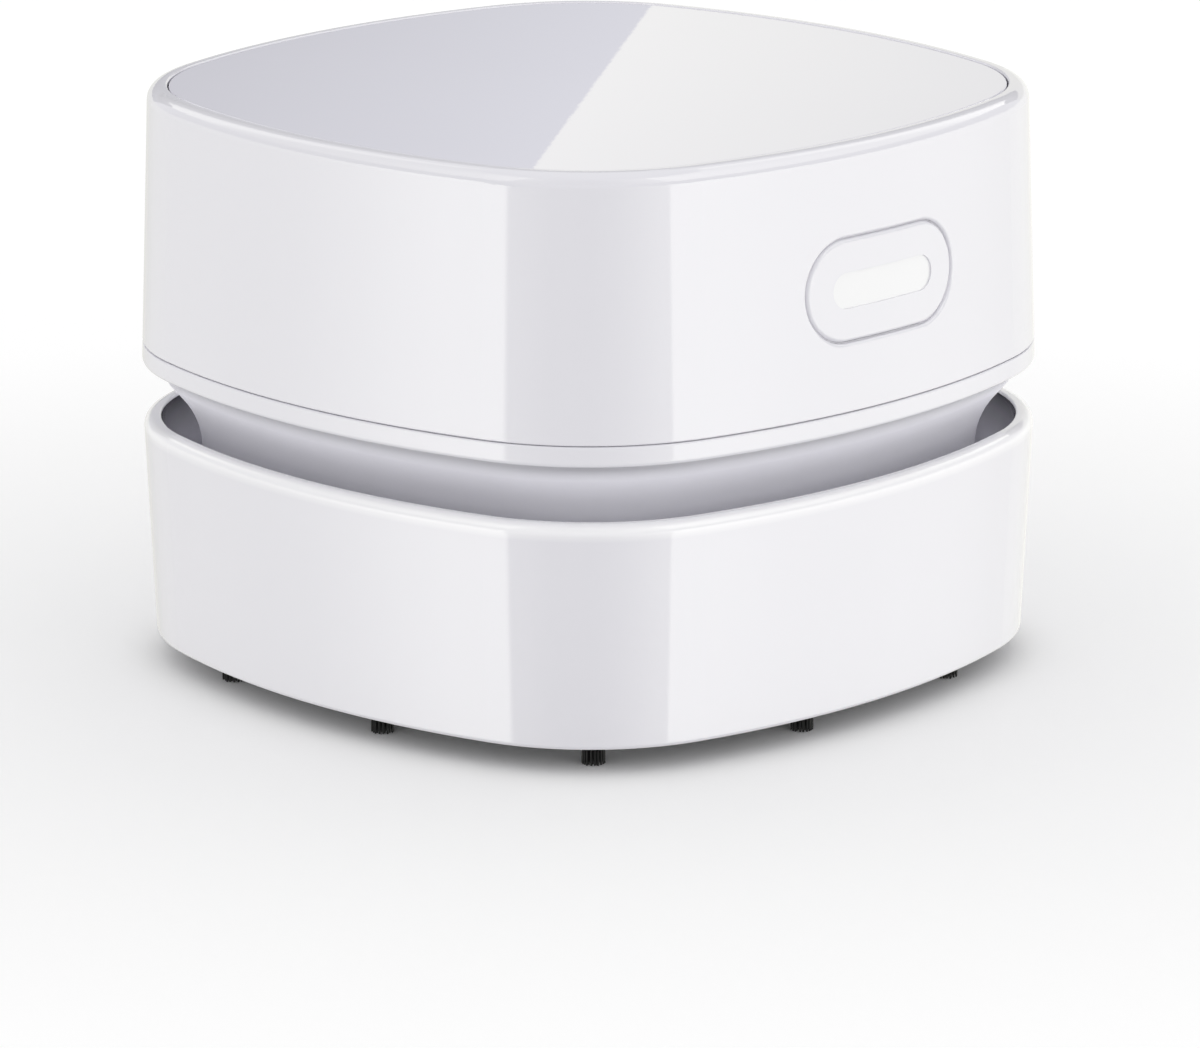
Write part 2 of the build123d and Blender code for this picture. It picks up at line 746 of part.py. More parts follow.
def front_wall_piece(outer, inner, half_length, half_height):
    """A capsule cut out of a curved wall between two insets, measured from the shell's outer face."""
    low = button_height - 2 * button_half_height
    high = button_height + 2 * button_half_height
    wall = ring([(shell_outside(low) + outer, low), (shell_outside(high) + outer, high),
                 (shell_outside(high) + inner, high), (shell_outside(low) + inner, low)])
    return wall & capsule(half_length, half_height, -50, -30)


def front_face(piece):
    return piece.faces().filter_by(GeomType.PLANE, reverse=True).sort_by(Axis.Y)[0]


def button_cap():
    """Follows the curve of the shell, with a pocket for the inlay, a flange behind the wall and a boss."""
    cap = front_wall_piece(0.05, flange_front_inset + 0.2, button_half_length - button_gap,
                           button_half_height - button_gap)
    cap = fillet(front_face(cap).edges(), button_rounding)
    flange = front_wall_piece(flange_front_inset, flange_front_inset + flange_thickness,
                              button_half_length + flange_lap, button_half_height + flange_lap)
    pocket = front_wall_piece(-1, pocket_depth, inlay_half_length, inlay_half_height)
    boss = along_y(cap_boss_radius, cap_boss_back - cap_boss_length, cap_boss_back)
    return cap + flange + boss - pocket


def button_inlay():
    """The bright bar, sunk a little in the cap's pocket."""
    return front_wall_piece(inlay_front, pocket_depth, inlay_half_length, inlay_half_height)


def along_y(radius, front, back, x=0.0, z=button_height):
    """A cylinder that lies along Y."""
    return Pos(x, (front + back) / 2, z) * Rot(90, 0, 0) * Cylinder(radius, back - front)


def switch_plunger():
    return along_y(stem_radius, cap_boss_back, switch_front + 1.6)


def switch_body():
    """A push switch: a square case on the board with a bore for its plunger."""
    case = block((-switch_half, switch_half), (switch_front, board_front),
                 (button_height - switch_half, button_height + switch_half))
    case = chamfer(case.edges().filter_by(Axis.Y), 0.4)
    return case - along_y(stem_radius + 0.06, switch_front - 1, switch_front + 3.4)


def button_spring():
    """The return spring round the plunger, between the switch and the cap's boss."""
    length = switch_front - cap_boss_back - 2 * button_spring_wire
    coil = sweep(Plane(origin=(spring_radius, 0, 0), z_dir=(0, 1, 0)) * Circle(button_spring_wire),
                 Helix(length / button_spring_turns, length, spring_radius), is_frenet=True)
    return Pos(0, switch_front - button_spring_wire, button_height) * Rot(90, 0, 0) * coil


def circuit_board():
    return block((-board_half_length, board_half_length), (board_front, board_back), (board_low, board_high))


def board_components():
    """A smoothing capacitor, a small diode and the solder joints, all on the back of the board."""
    capacitor = along_y(2.5, board_back, board_back + 6.0, -8.0, 51.0)
    diode = block((5.0, 8.6), (board_back, board_back + 1.4), (50.4, 52.2))
    joints = [along_y(0.6, board_back, board_back + 0.6, x, z)
              for x in (-2.5, 2.5) for z in (button_height - 2.5, button_height + 2.5)]
    return group([capacitor, diode] + joints)


# ---------------------------------------------------------------- the wires inside
wire_radius = 0.6
wire_level = can_top + 1.5


def wire(points):
    """A wire along straight runs joined by arcs as large as the runs allow."""
    path_points = [Vector(*point) for point in points]
    radii = []
    for before, here, after in zip(path_points, path_points[1:], path_points[2:]):
        run_in = here - before
        run_out = after - here
        turn = radians(run_in.get_angle(run_out))
        radii.append(0.45 * min(run_in.length, run_out.length) / tan(turn / 2))
    path = FilletPolyline(*path_points, radius=radii)
    section = Plane(origin=path @ 0, z_dir=path % 0) * Circle(wire_radius)
    return sweep(section, path)


def wire_black():
    """From the negative contact to the motor."""
    y = cell_pitch / 2
    end = -motor_screw_place - 0.25
    return wire([(-tail_place, y, tail_height), (-tail_place - 3.0, y, tail_height),
                 (-tail_place - 3.0, y - 0.8, wire_level), (-22.0, 4.0, wire_level),
                 (-14.0, 0, wire_level), (end, 0, wire_level)])


def wire_red():
    """From the positive contact to the board."""
    y = -cell_pitch / 2
    return wire([(-tail_place, y, tail_height), (-tail_place - 3.0, y, tail_height),
                 (-tail_place - 3.0, y - 1.5, wire_level), (-27.0, -20.0, wire_level),
                 (-9.0, -24.5, wire_level), (-7.0, -24.4, 46.0), (-7.0, board_back, 46.0)])


def wire_white():
    """From the board to the motor."""
    end = motor_screw_place + 0.25
    return wire([(7.0, board_back, 46.0), (7.0, -24.4, 46.0), (9.0, -23.0, wire_level),
                 (16.0, -8.0, wire_level), (14.0, 0, wire_level), (end, 0, wire_level)])


# ---------------------------------------------------------------- write one file for each node
nodes = {
    "dust_cup": dust_cup, "inlet_riser": inlet_riser, "brush_plate": brush_plate,
    "bristle_tufts": bristle_tufts, "base_screws": base_screws,
    "neck_housing": neck_housing, "fan_cover": fan_cover, "cup_seal": cup_seal,
    "filter_frame": filter_frame, "filter_pad": filter_pad, "fan_cover_screws": fan_cover_screws,
    "motor_deck": motor_deck, "deck_screws": deck_screws, "motor_screws": motor_screws,
    "motor_can": motor_can, "motor_bushes": motor_bushes, "motor_end_cap": motor_end_cap,
    "motor_terminals": motor_terminals, "motor_magnets": motor_magnets,
    "armature_core": armature_core, "armature_windings": armature_windings, "commutator": commutator,
    "motor_shaft": motor_shaft, "impeller": impeller,
    "upper_shell": upper_shell, "chassis_ring": chassis_ring, "chassis_screws": chassis_screws,
    "battery_tray": battery_tray, "tray_screws": tray_screws, "battery_lid": battery_lid,
    "battery_cell_rear": lambda: battery_cell(1), "battery_cell_front": lambda: battery_cell(-1),
    "contact_negative": contact_negative, "contact_positive": contact_positive,
    "contact_bridge": contact_bridge,
    "button_cap": button_cap, "button_inlay": button_inlay, "button_spring": button_spring,
    "switch_plunger": switch_plunger, "switch_body": switch_body,
    "circuit_board": circuit_board, "board_components": board_components,
    "wire_black": wire_black, "wire_red": wire_red, "wire_white": wire_white,
}

os.makedirs("parts", exist_ok=True)
for name, make in nodes.items():
    export_step(make(), f"parts/{name}.step")
    print(name)
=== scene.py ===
# %% [markdown]
# # A desktop mini vacuum cleaner, dressed for its picture
#
# The cleaner is two glossy white shells with a grey waist between them. It stands on ten tufts of black
# bristle. The solid model gives every moulded and turned piece its true size, so this lesson never moves
# them. It gives each one a finish, makes the bristles, the filter pad and one spring again in finer detail,
# adds the seal round the button, and lights the whole thing.

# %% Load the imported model
import json
import math
import random

import bmesh
import bpy
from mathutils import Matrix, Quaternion, Vector


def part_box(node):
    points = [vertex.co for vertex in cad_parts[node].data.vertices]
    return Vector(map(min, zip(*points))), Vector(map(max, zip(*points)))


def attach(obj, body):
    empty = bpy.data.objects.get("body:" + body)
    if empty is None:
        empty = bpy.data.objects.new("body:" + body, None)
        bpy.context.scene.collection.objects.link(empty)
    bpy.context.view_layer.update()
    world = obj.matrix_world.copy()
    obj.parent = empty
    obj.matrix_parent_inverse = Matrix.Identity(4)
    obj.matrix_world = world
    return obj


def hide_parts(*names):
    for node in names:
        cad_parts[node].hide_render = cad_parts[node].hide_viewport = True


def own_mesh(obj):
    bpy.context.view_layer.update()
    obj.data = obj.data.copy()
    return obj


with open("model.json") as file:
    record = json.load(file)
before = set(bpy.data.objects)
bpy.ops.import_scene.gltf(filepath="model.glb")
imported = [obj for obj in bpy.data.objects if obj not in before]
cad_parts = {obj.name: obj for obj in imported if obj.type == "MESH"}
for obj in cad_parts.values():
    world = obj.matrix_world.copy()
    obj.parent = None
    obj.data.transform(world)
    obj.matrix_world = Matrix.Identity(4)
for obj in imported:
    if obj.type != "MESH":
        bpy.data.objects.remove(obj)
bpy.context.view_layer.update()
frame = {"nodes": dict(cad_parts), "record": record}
nodes = frame["nodes"]
MM = 0.001

# %% [markdown]
# ## Maths on sockets
#
# A finish is a recipe of numbers that change over a surface. Wiring Math nodes by hand hides that recipe,
# so a small class wraps one output socket and lets Python's own operators add the nodes. `1 - mask` needs
# the reflected form of the minus sign, and so do the others. Everything that isn't plain maths goes through
# one method, `add`, which makes any node from its type, its settings and what its sockets get.


# %% A socket that can be used in a formula
class Signal:
    """The output socket of a node, as a value that a formula can use."""

    def __init__(self, graph, socket):
        self.graph = graph
        self.socket = socket

    def maths(self, operation, *values):
        return self.graph.add("ShaderNodeMath", {"operation": operation}, dict(enumerate(values)))

    def __add__(self, other):
        return self.maths("ADD", self, other)

    __radd__ = __add__

    def __sub__(self, other):
        return self.maths("SUBTRACT", self, other)

    def __rsub__(self, other):
        return self.maths("SUBTRACT", other, self)

    def __mul__(self, other):
        return self.maths("MULTIPLY", self, other)

    __rmul__ = __mul__

    def __truediv__(self, other):
        return self.maths("DIVIDE", self, other)

    def __rtruediv__(self, other):
        return self.maths("DIVIDE", other, self)

    def __gt__(self, other):
        return self.maths("GREATER_THAN", self, other)

    def __lt__(self, other):
        return self.maths("LESS_THAN", self, other)

    def distance_to(self, other):
        return self.maths("ABSOLUTE", self - other)

    def clamped(self):
        return self.graph.add("ShaderNodeClamp", {}, {"Value": self})


print("a Signal knows + - * / < and >")

# %% A graph, which a finish, a lit card and the room all are
# The Mix node repeats its sockets for each kind of value. These are the places of the ones for colours.
MIX_SHARE, MIX_FIRST, MIX_SECOND, MIX_RESULT = 0, 6, 7, 2


class Graph:
    """A node tree that starts empty and is built node by node."""

    def __init__(self, tree):
        self.tree = tree
        tree.nodes.clear()

    def feed(self, socket, value):
        """Link a signal to a socket, or set the socket to a plain value."""
        if isinstance(value, Signal):
            self.tree.links.new(value.socket, socket)
        elif socket.type == "RGBA":
            socket.default_value = (*value[:3], 1.0)
        else:
            socket.default_value = value

    def add(self, kind, settings, sockets, output=0):
        """Any node, from its type, its settings, what its sockets get and the output that is wanted."""
        node = self.tree.nodes.new(kind)
        for name, value in settings.items():
            if name == "stops":
                for _ in value[2:]:
                    node.color_ramp.elements.new(0.5)
                for element, (place, colour) in zip(node.color_ramp.elements, value):
                    element.position = place
                    element.color = (*colour, 1.0)
            else:
                setattr(node, name, value)
        for name, value in sockets.items():
            self.feed(node.inputs[name], value)
        return Signal(self, node.outputs[output]) if node.outputs else None

    def mix(self, share, first, second):
        """Blend two colours."""
        settings = {"data_type": "RGBA", "clamp_factor": True}
        sockets = {MIX_SHARE: share, MIX_FIRST: first, MIX_SECOND: second}
        return self.add("ShaderNodeMix", settings, sockets, MIX_RESULT)


print("a Graph makes and links any node")


# %% A finish, which is one material
class Finish(Graph):
    """A material with one surface shader, and the patterns that the finishes share."""

    def __init__(self, name):
        self.material = bpy.data.materials.new(name)
        self.material.use_nodes = True
        super().__init__(self.material.node_tree)
        surface = self.add("ShaderNodeBsdfPrincipled", {}, {}, "BSDF")
        self.add("ShaderNodeOutputMaterial", {}, {"Surface": surface})
        self.shader = surface.socket.node

    def set(self, name, value):
        """Give one socket of the shader a value or a signal."""
        self.feed(self.shader.inputs[name], value)

    def place(self):
        """The point on the piece, in metres, in the frame that all the pieces share."""
        return self.add("ShaderNodeTexCoord", {}, {}, "Object")

    def axis(self, letter):
        return self.add("ShaderNodeSeparateXYZ", {}, {"Vector": self.place()}, letter)

    def scaled(self, x, y, z):
        """The point, scaled in each direction: more than 1 squeezes a pattern, less than 1 draws it out."""
        return self.add("ShaderNodeVectorMath", {"operation": "MULTIPLY"}, {0: self.place(), 1: (x, y, z)})

    def noise(self, scale, detail, vector=None, roughness=0.5):
        sockets = {"Vector": vector or self.place(), "Scale": scale, "Detail": detail, "Roughness": roughness}
        return self.add("ShaderNodeTexNoise", {}, sockets, "Fac")

    def cells(self, scale):
        return self.add("ShaderNodeTexVoronoi", {}, {"Vector": self.place(), "Scale": scale}, "Distance")

    def waves(self, scale, direction, distortion):
        settings = {"wave_type": "BANDS", "bands_direction": direction}
        sockets = {"Vector": self.place(), "Scale": scale, "Distortion": distortion}
        return self.add("ShaderNodeTexWave", settings, sockets, "Fac")

    def relief(self, height, depth):
        """Bump from a height between 0 and 1, with its full depth in metres."""
        sockets = {"Height": height, "Distance": depth, "Strength": 1.0}
        self.set("Normal", self.add("ShaderNodeBump", {}, sockets, "Normal"))


print("a Finish knows its place, noise, cells, waves and relief")

# %% [markdown]
# ## Glossy white plastic
#
# The shells are injection-moulded in white plastic from a polished tool. Up close such a surface isn't
# perfect: it has the faint long waves of the polish, a little unevenness in its gloss, and hairlines from
# handling. The colour is a cool white. A plain white would look like plaster, so the gloss and its small
# faults are what makes it plastic. Images could hold these faults, but noise has no seams and needs no
# file.


# %% The moulded plastic of the shells, the lid, the button, the cup and the waist
def moulded_gloss(name, colour, shade, roughness, gloss_change=0.03, wave_depth=0.003 * MM, painted_marks=()):
    """Polished plastic: colour and a slightly darker shade of it, in broad soft clouds, then any painted
    shade or highlight.
    """
    finish = Finish(name)
    clouds = finish.noise(35, 3.0)
    white = finish.mix(clouds, shade, colour)
    for share, painted_tone in painted_marks:
        white = finish.mix(share(finish), white, painted_tone)
    finish.set("Base Color", white)
    handled = finish.noise(160, 5.0, roughness=0.65)
    hairlines = finish.noise(90, 6.0, finish.scaled(1.0, 1.0, 14.0), 0.7)
    finish.set("Roughness", roughness + (handled * 0.6 + hairlines * 0.4) * gloss_change)
    polish = finish.noise(110, 2.0)
    pores = finish.noise(1400, 1.0)
    finish.relief(polish * 0.7 + pores * 0.3, wave_depth)
    finish.set("IOR", 1.5)
    return finish


SHELL_COLOURS = (0.80, 0.792, 0.837), (0.78, 0.772, 0.817)
SHELL_ROUGHNESS = 0.035
shell_white = moulded_gloss("shell_white", *SHELL_COLOURS, SHELL_ROUGHNESS)
lid_white = moulded_gloss("lid_white", (0.81, 0.80, 0.87), (0.795, 0.785, 0.855), 0.006, 0.008, 0.001 * MM)
button_white = moulded_gloss("button_white", (0.795, 0.788, 0.832), (0.775, 0.768, 0.812), 0.06)
inlay_white = moulded_gloss("inlay_white", (0.85, 0.85, 0.865), (0.835, 0.835, 0.85), 0.12)
print("gloss finishes: shell, lid, button, inlay")

# %% [markdown]
# ## Painted shade and highlight on the cup and the waist
#
# The cup's inside wall is painted dark grey just under the rim, fading further down: this is painted shade
# for the pocket between the cup and the waist. It is only on faces that look towards the middle, so the sign
# of the normal along the way out from the axis picks them. The rounded rim is painted whiter than the wall,
# a painted highlight, and the waist is painted darker right under the band, a painted shade. Each painted
# mark is a share between 0 and 1 that follows the height, and it blends one colour in. The cup is moulded
# like the shells, and the waist too, but with a duller surface.


# %% How a painted mark follows the height
def fade_below(finish, level, depth):
    """1 at a level and above it, fading to 0 at a depth below it."""
    return (1 - (level - finish.axis("Z")) / depth).clamped()


RIM_CREST = 0.25 * MM
rim_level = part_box("dust_cup")[1].z - RIM_CREST
band_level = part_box("chassis_ring")[0].z
print("rim at", round(rim_level / MM, 1), "mm, band at", round(band_level / MM, 1), "mm")

# %% The painted shade just under the cup's rim
POCKET_SHADE_GREY = (0.05, 0.05, 0.055)
POCKET_SHADE_DEPTH = 5.0 * MM


# Painted shade: the cup's inside wall goes dark just under the rim, where the pocket lies in shade.
def painted_pocket_shade(finish):
    """1 on the inside wall at the rim, fading to 0 lower down, and 0 on every face that looks outwards."""
    normal = finish.add("ShaderNodeNewGeometry", {}, {}, "Normal")
    way_out = finish.scaled(1.0, 1.0, 0.0)
    facing_out = finish.add("ShaderNodeVectorMath", {"operation": "DOT_PRODUCT"},
                            {0: normal, 1: way_out}, "Value")
    under_rim = finish.axis("Z") < rim_level
    return fade_below(finish, rim_level, POCKET_SHADE_DEPTH) * (facing_out < 0) * under_rim


print("film fades over", round(POCKET_SHADE_DEPTH / MM, 1), "mm")

# %% The painted highlight on the rim
RIM_HIGHLIGHT_WHITE = (0.93, 0.925, 0.945)
RIM_DEPTH = 1.5 * MM
RIM_STRENGTH = 1.4


# Painted highlight: the rounded rim is painted whiter than the wall under it.
def painted_rim_highlight(finish):
    """1 on the rounded rim, fading to 0 on the wall under it, and 0 inside the cup."""
    inside = painted_pocket_shade(finish) * 2
    return (fade_below(finish, rim_level, RIM_DEPTH) * RIM_STRENGTH - inside).clamped()


cup_white = moulded_gloss("cup_white", *SHELL_COLOURS, SHELL_ROUGHNESS,
                          painted_marks=((painted_pocket_shade, POCKET_SHADE_GREY), (painted_rim_highlight, RIM_HIGHLIGHT_WHITE)))
print("clean rim fades over", round(RIM_DEPTH / MM, 1), "mm")

# %% The painted shade under the band
BAND_SHADE_GREY = (0.06, 0.06, 0.07)
BAND_SHADE_START = 0.75 * MM
BAND_SHADE_DEPTH = 1.3 * MM
BAND_SHADE_STRENGTH = 0.5


# Painted shade: the waist is darkened right under the band, in the shade of its overhang.
def painted_band_shade(finish):
    """Strongest right under the band, and gone a little lower."""
    return fade_below(finish, band_level - BAND_SHADE_START, BAND_SHADE_DEPTH) * BAND_SHADE_STRENGTH


waist_grey = moulded_gloss("waist_grey", (0.92, 0.912, 0.98), (0.89, 0.882, 0.95), 0.58,
                           painted_marks=((painted_band_shade, BAND_SHADE_GREY),))
print("grime is gone", round((BAND_SHADE_START + BAND_SHADE_DEPTH) / MM, 2), "mm under the band")

# %% [markdown]
# ## Satin plastic
#
# The foot plate, the battery tray and the fan come from a spark-eroded tool, which leaves a fine even
# grain. Small round cells make the grain, and broad noise keeps its gloss from being even. The filter's
# frame, the switch, the board's components and the magnets get the same recipe, each with its own colour.


# %% The grained plastic
def moulded_satin(name, colour, shade, roughness=0.42, grain_depth=0.02 * MM):
    finish = Finish(name)
    clouds = finish.noise(45, 4.0)
    finish.set("Base Color", finish.mix(clouds, shade, colour))
    grain = finish.cells(1900)
    handled = finish.noise(300, 3.0)
    finish.set("Roughness", roughness + handled * 0.12 + grain * 0.08)
    fine_grain = finish.noise(2600, 2.0)
    finish.relief(grain * 0.7 + fine_grain * 0.3, grain_depth)
    return finish


foot_grey = moulded_satin("foot_grey", (0.10, 0.10, 0.108), (0.075, 0.075, 0.08))
tray_white = moulded_satin("tray_white", (0.78, 0.78, 0.80), (0.74, 0.74, 0.765))
fan_white = moulded_satin("fan_white", (0.80, 0.80, 0.80), (0.76, 0.76, 0.765), 0.35)
frame_dark = moulded_satin("frame_dark", (0.055, 0.055, 0.06), (0.04, 0.04, 0.045), 0.45)
switch_black = moulded_satin("switch_black", (0.022, 0.022, 0.022), (0.016, 0.016, 0.017), 0.38)
component_blue = moulded_satin("component_blue", (0.035, 0.05, 0.17), (0.025, 0.04, 0.13), 0.3, 0.008 * MM)
magnet_grey = moulded_satin("magnet_grey", (0.075, 0.075, 0.08), (0.05, 0.05, 0.055), 0.6, 0.03 * MM)
print("satin finishes: foot, tray, fan, frame, switch, component, magnet")

# %% [markdown]
# ## Metals
#
# Sheet steel shows the fine lines of its rolling, a turned piece shows rings, and zinc plate on a screw is
# mottled. All are the same idea: noise that is squeezed along one direction, so that it turns into fine
# lines across it, or noise that is left as it is. It is used in the gloss and, very shallow, in the relief.
# The shader's anisotropy could hint at the lines too, but noise draws each one.


# %% One metal, with its lines across a chosen direction
def metal(name, colour, shade, roughness, squeeze=(1.0, 1.0, 30.0), line_scale=220, depth=0.004 * MM):
    finish = Finish(name)
    lines = finish.noise(line_scale, 4.0, finish.scaled(*squeeze), 0.6)
    mottle = finish.noise(500, 3.0)
    finish.set("Base Color", finish.mix(mottle * 0.6 + lines * 0.4, shade, colour))
    finish.set("Metallic", 1.0)
    finish.set("Roughness", roughness + lines * 0.16 + mottle * 0.06)
    finish.relief(lines, depth)
    return finish


screw_steel = metal("screw_steel", (0.66, 0.67, 0.70), (0.50, 0.50, 0.52), 0.22, (1.0, 1.0, 1.0))
can_steel = metal("can_steel", (0.68, 0.68, 0.69), (0.56, 0.56, 0.57), 0.20)
core_steel = metal("core_steel", (0.34, 0.35, 0.37), (0.16, 0.17, 0.19), 0.35,
                   (1.0, 1.0, 60.0), 60, 0.02 * MM)
spring_steel = metal("spring_steel", (0.74, 0.74, 0.75), (0.62, 0.62, 0.63), 0.14, (30.0, 1.0, 1.0))
bronze = metal("bronze", (0.55, 0.33, 0.16), (0.40, 0.22, 0.10), 0.34, (1.0, 1.0, 1.0), 900)
brass = metal("brass", (0.76, 0.58, 0.26), (0.64, 0.46, 0.18), 0.22, (1.0, 30.0, 1.0))
print("metal finishes: screw, can, core, spring, bronze, brass")


# %% Copper wire wound in close turns
def wound_copper(name):
    finish = Finish(name)
    turns = finish.waves(1150, "Z", 0.4)
    finish.set("Base Color", finish.mix(turns, (0.22, 0.07, 0.03), (0.78, 0.34, 0.15)))
    finish.set("Metallic", 1.0)
    finish.set("Roughness", 0.18 + (1 - turns) * 0.3)
    finish.relief(turns, 0.08 * MM)
    return finish


copper_wire = wound_copper("copper_wire")
print("copper finish:", copper_wire.material.name)

# %% [markdown]
# ## Rubber, wire sleeves and the circuit board
#
# The seal is moulded rubber with a dusty bloom. A wire's sleeve is soft and slightly waxy. The board has
# its copper tracks under green lacquer, so the tracks are lighter and stand up a little: a grid of cells
# with straight edges gives tracks that look routed.


# %% The soft finishes
def soft_plastic(name, colour, shade, roughness):
    finish = Finish(name)
    bloom = finish.noise(260, 5.0, roughness=0.7)
    finish.set("Base Color", finish.mix(bloom, shade, colour))
    finish.set("Roughness", roughness + bloom * 0.2)
    finish.relief(finish.noise(1500, 3.0), 0.012 * MM)
    return finish


seal_rubber = soft_plastic("seal_rubber", (0.05, 0.05, 0.054), (0.022, 0.022, 0.024), 0.6)
wire_black = soft_plastic("wire_black", (0.025, 0.025, 0.027), (0.014, 0.014, 0.015), 0.4)
wire_red = soft_plastic("wire_red", (0.52, 0.022, 0.016), (0.40, 0.012, 0.010), 0.4)
wire_white = soft_plastic("wire_white", (0.74, 0.73, 0.70), (0.64, 0.63, 0.60), 0.4)
print("soft finishes: seal and the three sleeves")


# %% The circuit board
def lacquered_board(name):
    finish = Finish(name)
    edges = finish.add("ShaderNodeTexVoronoi", {"feature": "DISTANCE_TO_EDGE"},
                       {"Vector": finish.place(), "Scale": 420, "Randomness": 0.35}, "Distance")
    tracks = edges < 0.09
    finish.set("Base Color", finish.mix(tracks, (0.012, 0.13, 0.045), (0.04, 0.26, 0.09)))
    finish.set("Roughness", 0.22 + finish.noise(400, 3.0) * 0.14)
    finish.relief(tracks, 0.03 * MM)
    return finish


board_green = lacquered_board("board_green")
print("board finish:", board_green.material.name)

# %% [markdown]
# ## The battery cells
#
# A cell wears a thin printed jacket that is shrunk over its steel can. The jacket is two plain colours,
# with the paler band at the end with the nub, and the bare steel shows at both ends. The place along X says
# where the bands change, so the two cells, which lie opposite ways, need one finish each.

# %% A jacket with a band at the nub's end
BAND_SHARE = 0.30
BAND_EDGE = 0.3 * MM
STEEL_AT_NUB = 1.9 * MM
STEEL_AT_FLAT = 0.9 * MM


def cell_jacket(name, node, nub_side):
    """The finish of one cell, whose nub is at the high end of X for a nub_side of 1, and else at the low."""
    low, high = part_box(node)
    length = high.x - low.x
    nub_end = high.x if nub_side > 0 else low.x
    finish = Finish(name)
    from_nub = finish.axis("X").distance_to(nub_end)
    band = from_nub < BAND_SHARE * length
    band_edge = from_nub.distance_to(BAND_SHARE * length) < BAND_EDGE
    steel = ((from_nub < STEEL_AT_NUB) + (from_nub > length - STEEL_AT_FLAT)).clamped()
    jacket = finish.mix(band, (0.012, 0.115, 0.105), (0.62, 0.60, 0.55))
    jacket = finish.mix(band_edge, jacket, (0.80, 0.78, 0.72))
    finish.set("Base Color", finish.mix(steel, jacket, (0.66, 0.66, 0.67)))
    finish.set("Metallic", steel)
    wrinkles = finish.noise(500, 4.0, finish.scaled(8.0, 1.0, 1.0))
    finish.set("Roughness", 0.20 + wrinkles * 0.12)
    finish.relief(wrinkles, 0.01 * MM)
    return finish


jacket_rear = cell_jacket("cell_jacket_rear", "battery_cell_rear", 1)
jacket_front = cell_jacket("cell_jacket_front", "battery_cell_front", -1)
print("cell finishes:", jacket_rear.material.name, jacket_front.material.name)

# %% [markdown]
# ## Putting the finishes on the solid pieces
#
# Every solid piece names its material slot in the record. Most slots have one finish, so a dictionary from
# slot to finish does most of the job, and only the cup and the two cells differ. The pieces come in with
# their own normals, which already shade the curves smooth and keep the creases sharp, so nothing is added
# for that.

# %% Dress every solid piece
finishes = {
    "shell_white": shell_white, "lid_white": lid_white, "button_white": button_white,
    "waist_grey": waist_grey, "inlay_white": inlay_white, "foot_grey": foot_grey,
    "tray_white": tray_white, "fan_white": fan_white, "frame_dark": frame_dark,
    "switch_black": switch_black, "component_blue": component_blue, "magnet_grey": magnet_grey,
    "screw_steel": screw_steel, "can_steel": can_steel, "core_steel": core_steel,
    "spring_steel": spring_steel, "bronze": bronze, "brass": brass, "copper_wire": copper_wire,
    "seal_rubber": seal_rubber, "wire_black": wire_black, "wire_red": wire_red,
    "wire_white": wire_white, "board_green": board_green,
}
own_finish = {"battery_cell_rear": jacket_rear, "battery_cell_front": jacket_front, "dust_cup": cup_white}
slot_of = {part["node"]: part["material_slot"] for part in frame["record"]["subparts"]}
undressed = []
for name, piece in nodes.items():
    finish = own_finish.get(name) or finishes.get(slot_of[name])
    if finish is None:
        undressed.append(name)
        continue
    piece.data.materials.clear()
    piece.data.materials.append(finish.material)
print(len(nodes) - len(undressed), "dressed; still to be made as fibres:", undressed)

# %% [markdown]
# ## Bristles
#
# A tuft is a bundle of stiff nylon filaments, folded over in its hole and trimmed level. One cylinder would
# show a solid peg, so each filament is its own thin tube: packed in rings, leaning out a little towards the
# tips, and cut at slightly different lengths. Hair particles could grow them too, but only a mesh is kept
# when the model leaves Blender. A fixed seed makes every run the same. The centres of the tufts are worked
# out from the solid tufts, which these stand for.

# %% Find the ten tufts
WELD = 0.01 * MM
tip_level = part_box("bristle_tufts")[0].z
root_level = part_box("bristle_tufts")[1].z


def separate_centres(node):
    """The middle of each separate solid of a node, found by walking its connected vertices."""
    work = bmesh.new()
    work.from_mesh(nodes[node].data)
    bmesh.ops.remove_doubles(work, verts=work.verts, dist=WELD)
    left = set(work.verts)
    centres = []
    for first in work.verts:
        if first not in left:
            continue
        left.remove(first)
        island = [first]
        for vert in island:
            for edge in vert.link_edges:
                other = edge.other_vert(vert)
                if other in left:
                    left.remove(other)
                    island.append(other)
        total = sum((vert.co for vert in island), Vector())
        centres.append(total / len(island))
    work.free()
    return sorted(centres, key=lambda point: math.atan2(point.y, point.x))


tufts = separate_centres("bristle_tufts")
print(len(tufts), "tufts at", [(round(p.x / MM, 1), round(p.y / MM, 1)) for p in tufts])

# %% One filament
FILAMENT_RADIUS = 0.13 * MM
FILAMENT_SIDES = 6
CUT_END = 0.72


def thin_tube(work, line):
    """A closed tube along a short line of points, narrowed at its cut end."""
    turns = [side * math.tau / FILAMENT_SIDES for side in range(FILAMENT_SIDES)]
    rings = []
    for place, point in enumerate(line):
        around = FILAMENT_RADIUS * (CUT_END if place == 0 else 1.0)
        rings.append([work.verts.new(point + Vector((around * math.cos(turn), around * math.sin(turn), 0)))
                      for turn in turns])
    for low_ring, high_ring in zip(rings, rings[1:]):
        for side in range(FILAMENT_SIDES):
            after = (side + 1) % FILAMENT_SIDES
            work.faces.new((low_ring[side], low_ring[after], high_ring[after], high_ring[side]))
    work.faces.new(rings[0][::-1])
    work.faces.new(rings[-1])


print("a filament is", round(2 * FILAMENT_RADIUS / MM, 2), "mm thick")

# %% Grow the filaments
TUFT_RADIUS = 1.35 * MM
TUFT_MARGIN = 1.6 * FILAMENT_RADIUS
RINGS_ACROSS = 3.4
RING_COUNTS = (1, 6, 12, 18)
TURN_SPREAD = 0.08
TIP_LEAN = 1.09
TIP_SPREAD = 0.05 * MM
CUT_SPREAD = 0.12 * MM
LEVEL_EVERY = 3
HEIGHT_SHARES = (0.0, 0.12, 0.5, 1.0)
LEAN_CURVE = 0.7
BRISTLE_SEED = 10


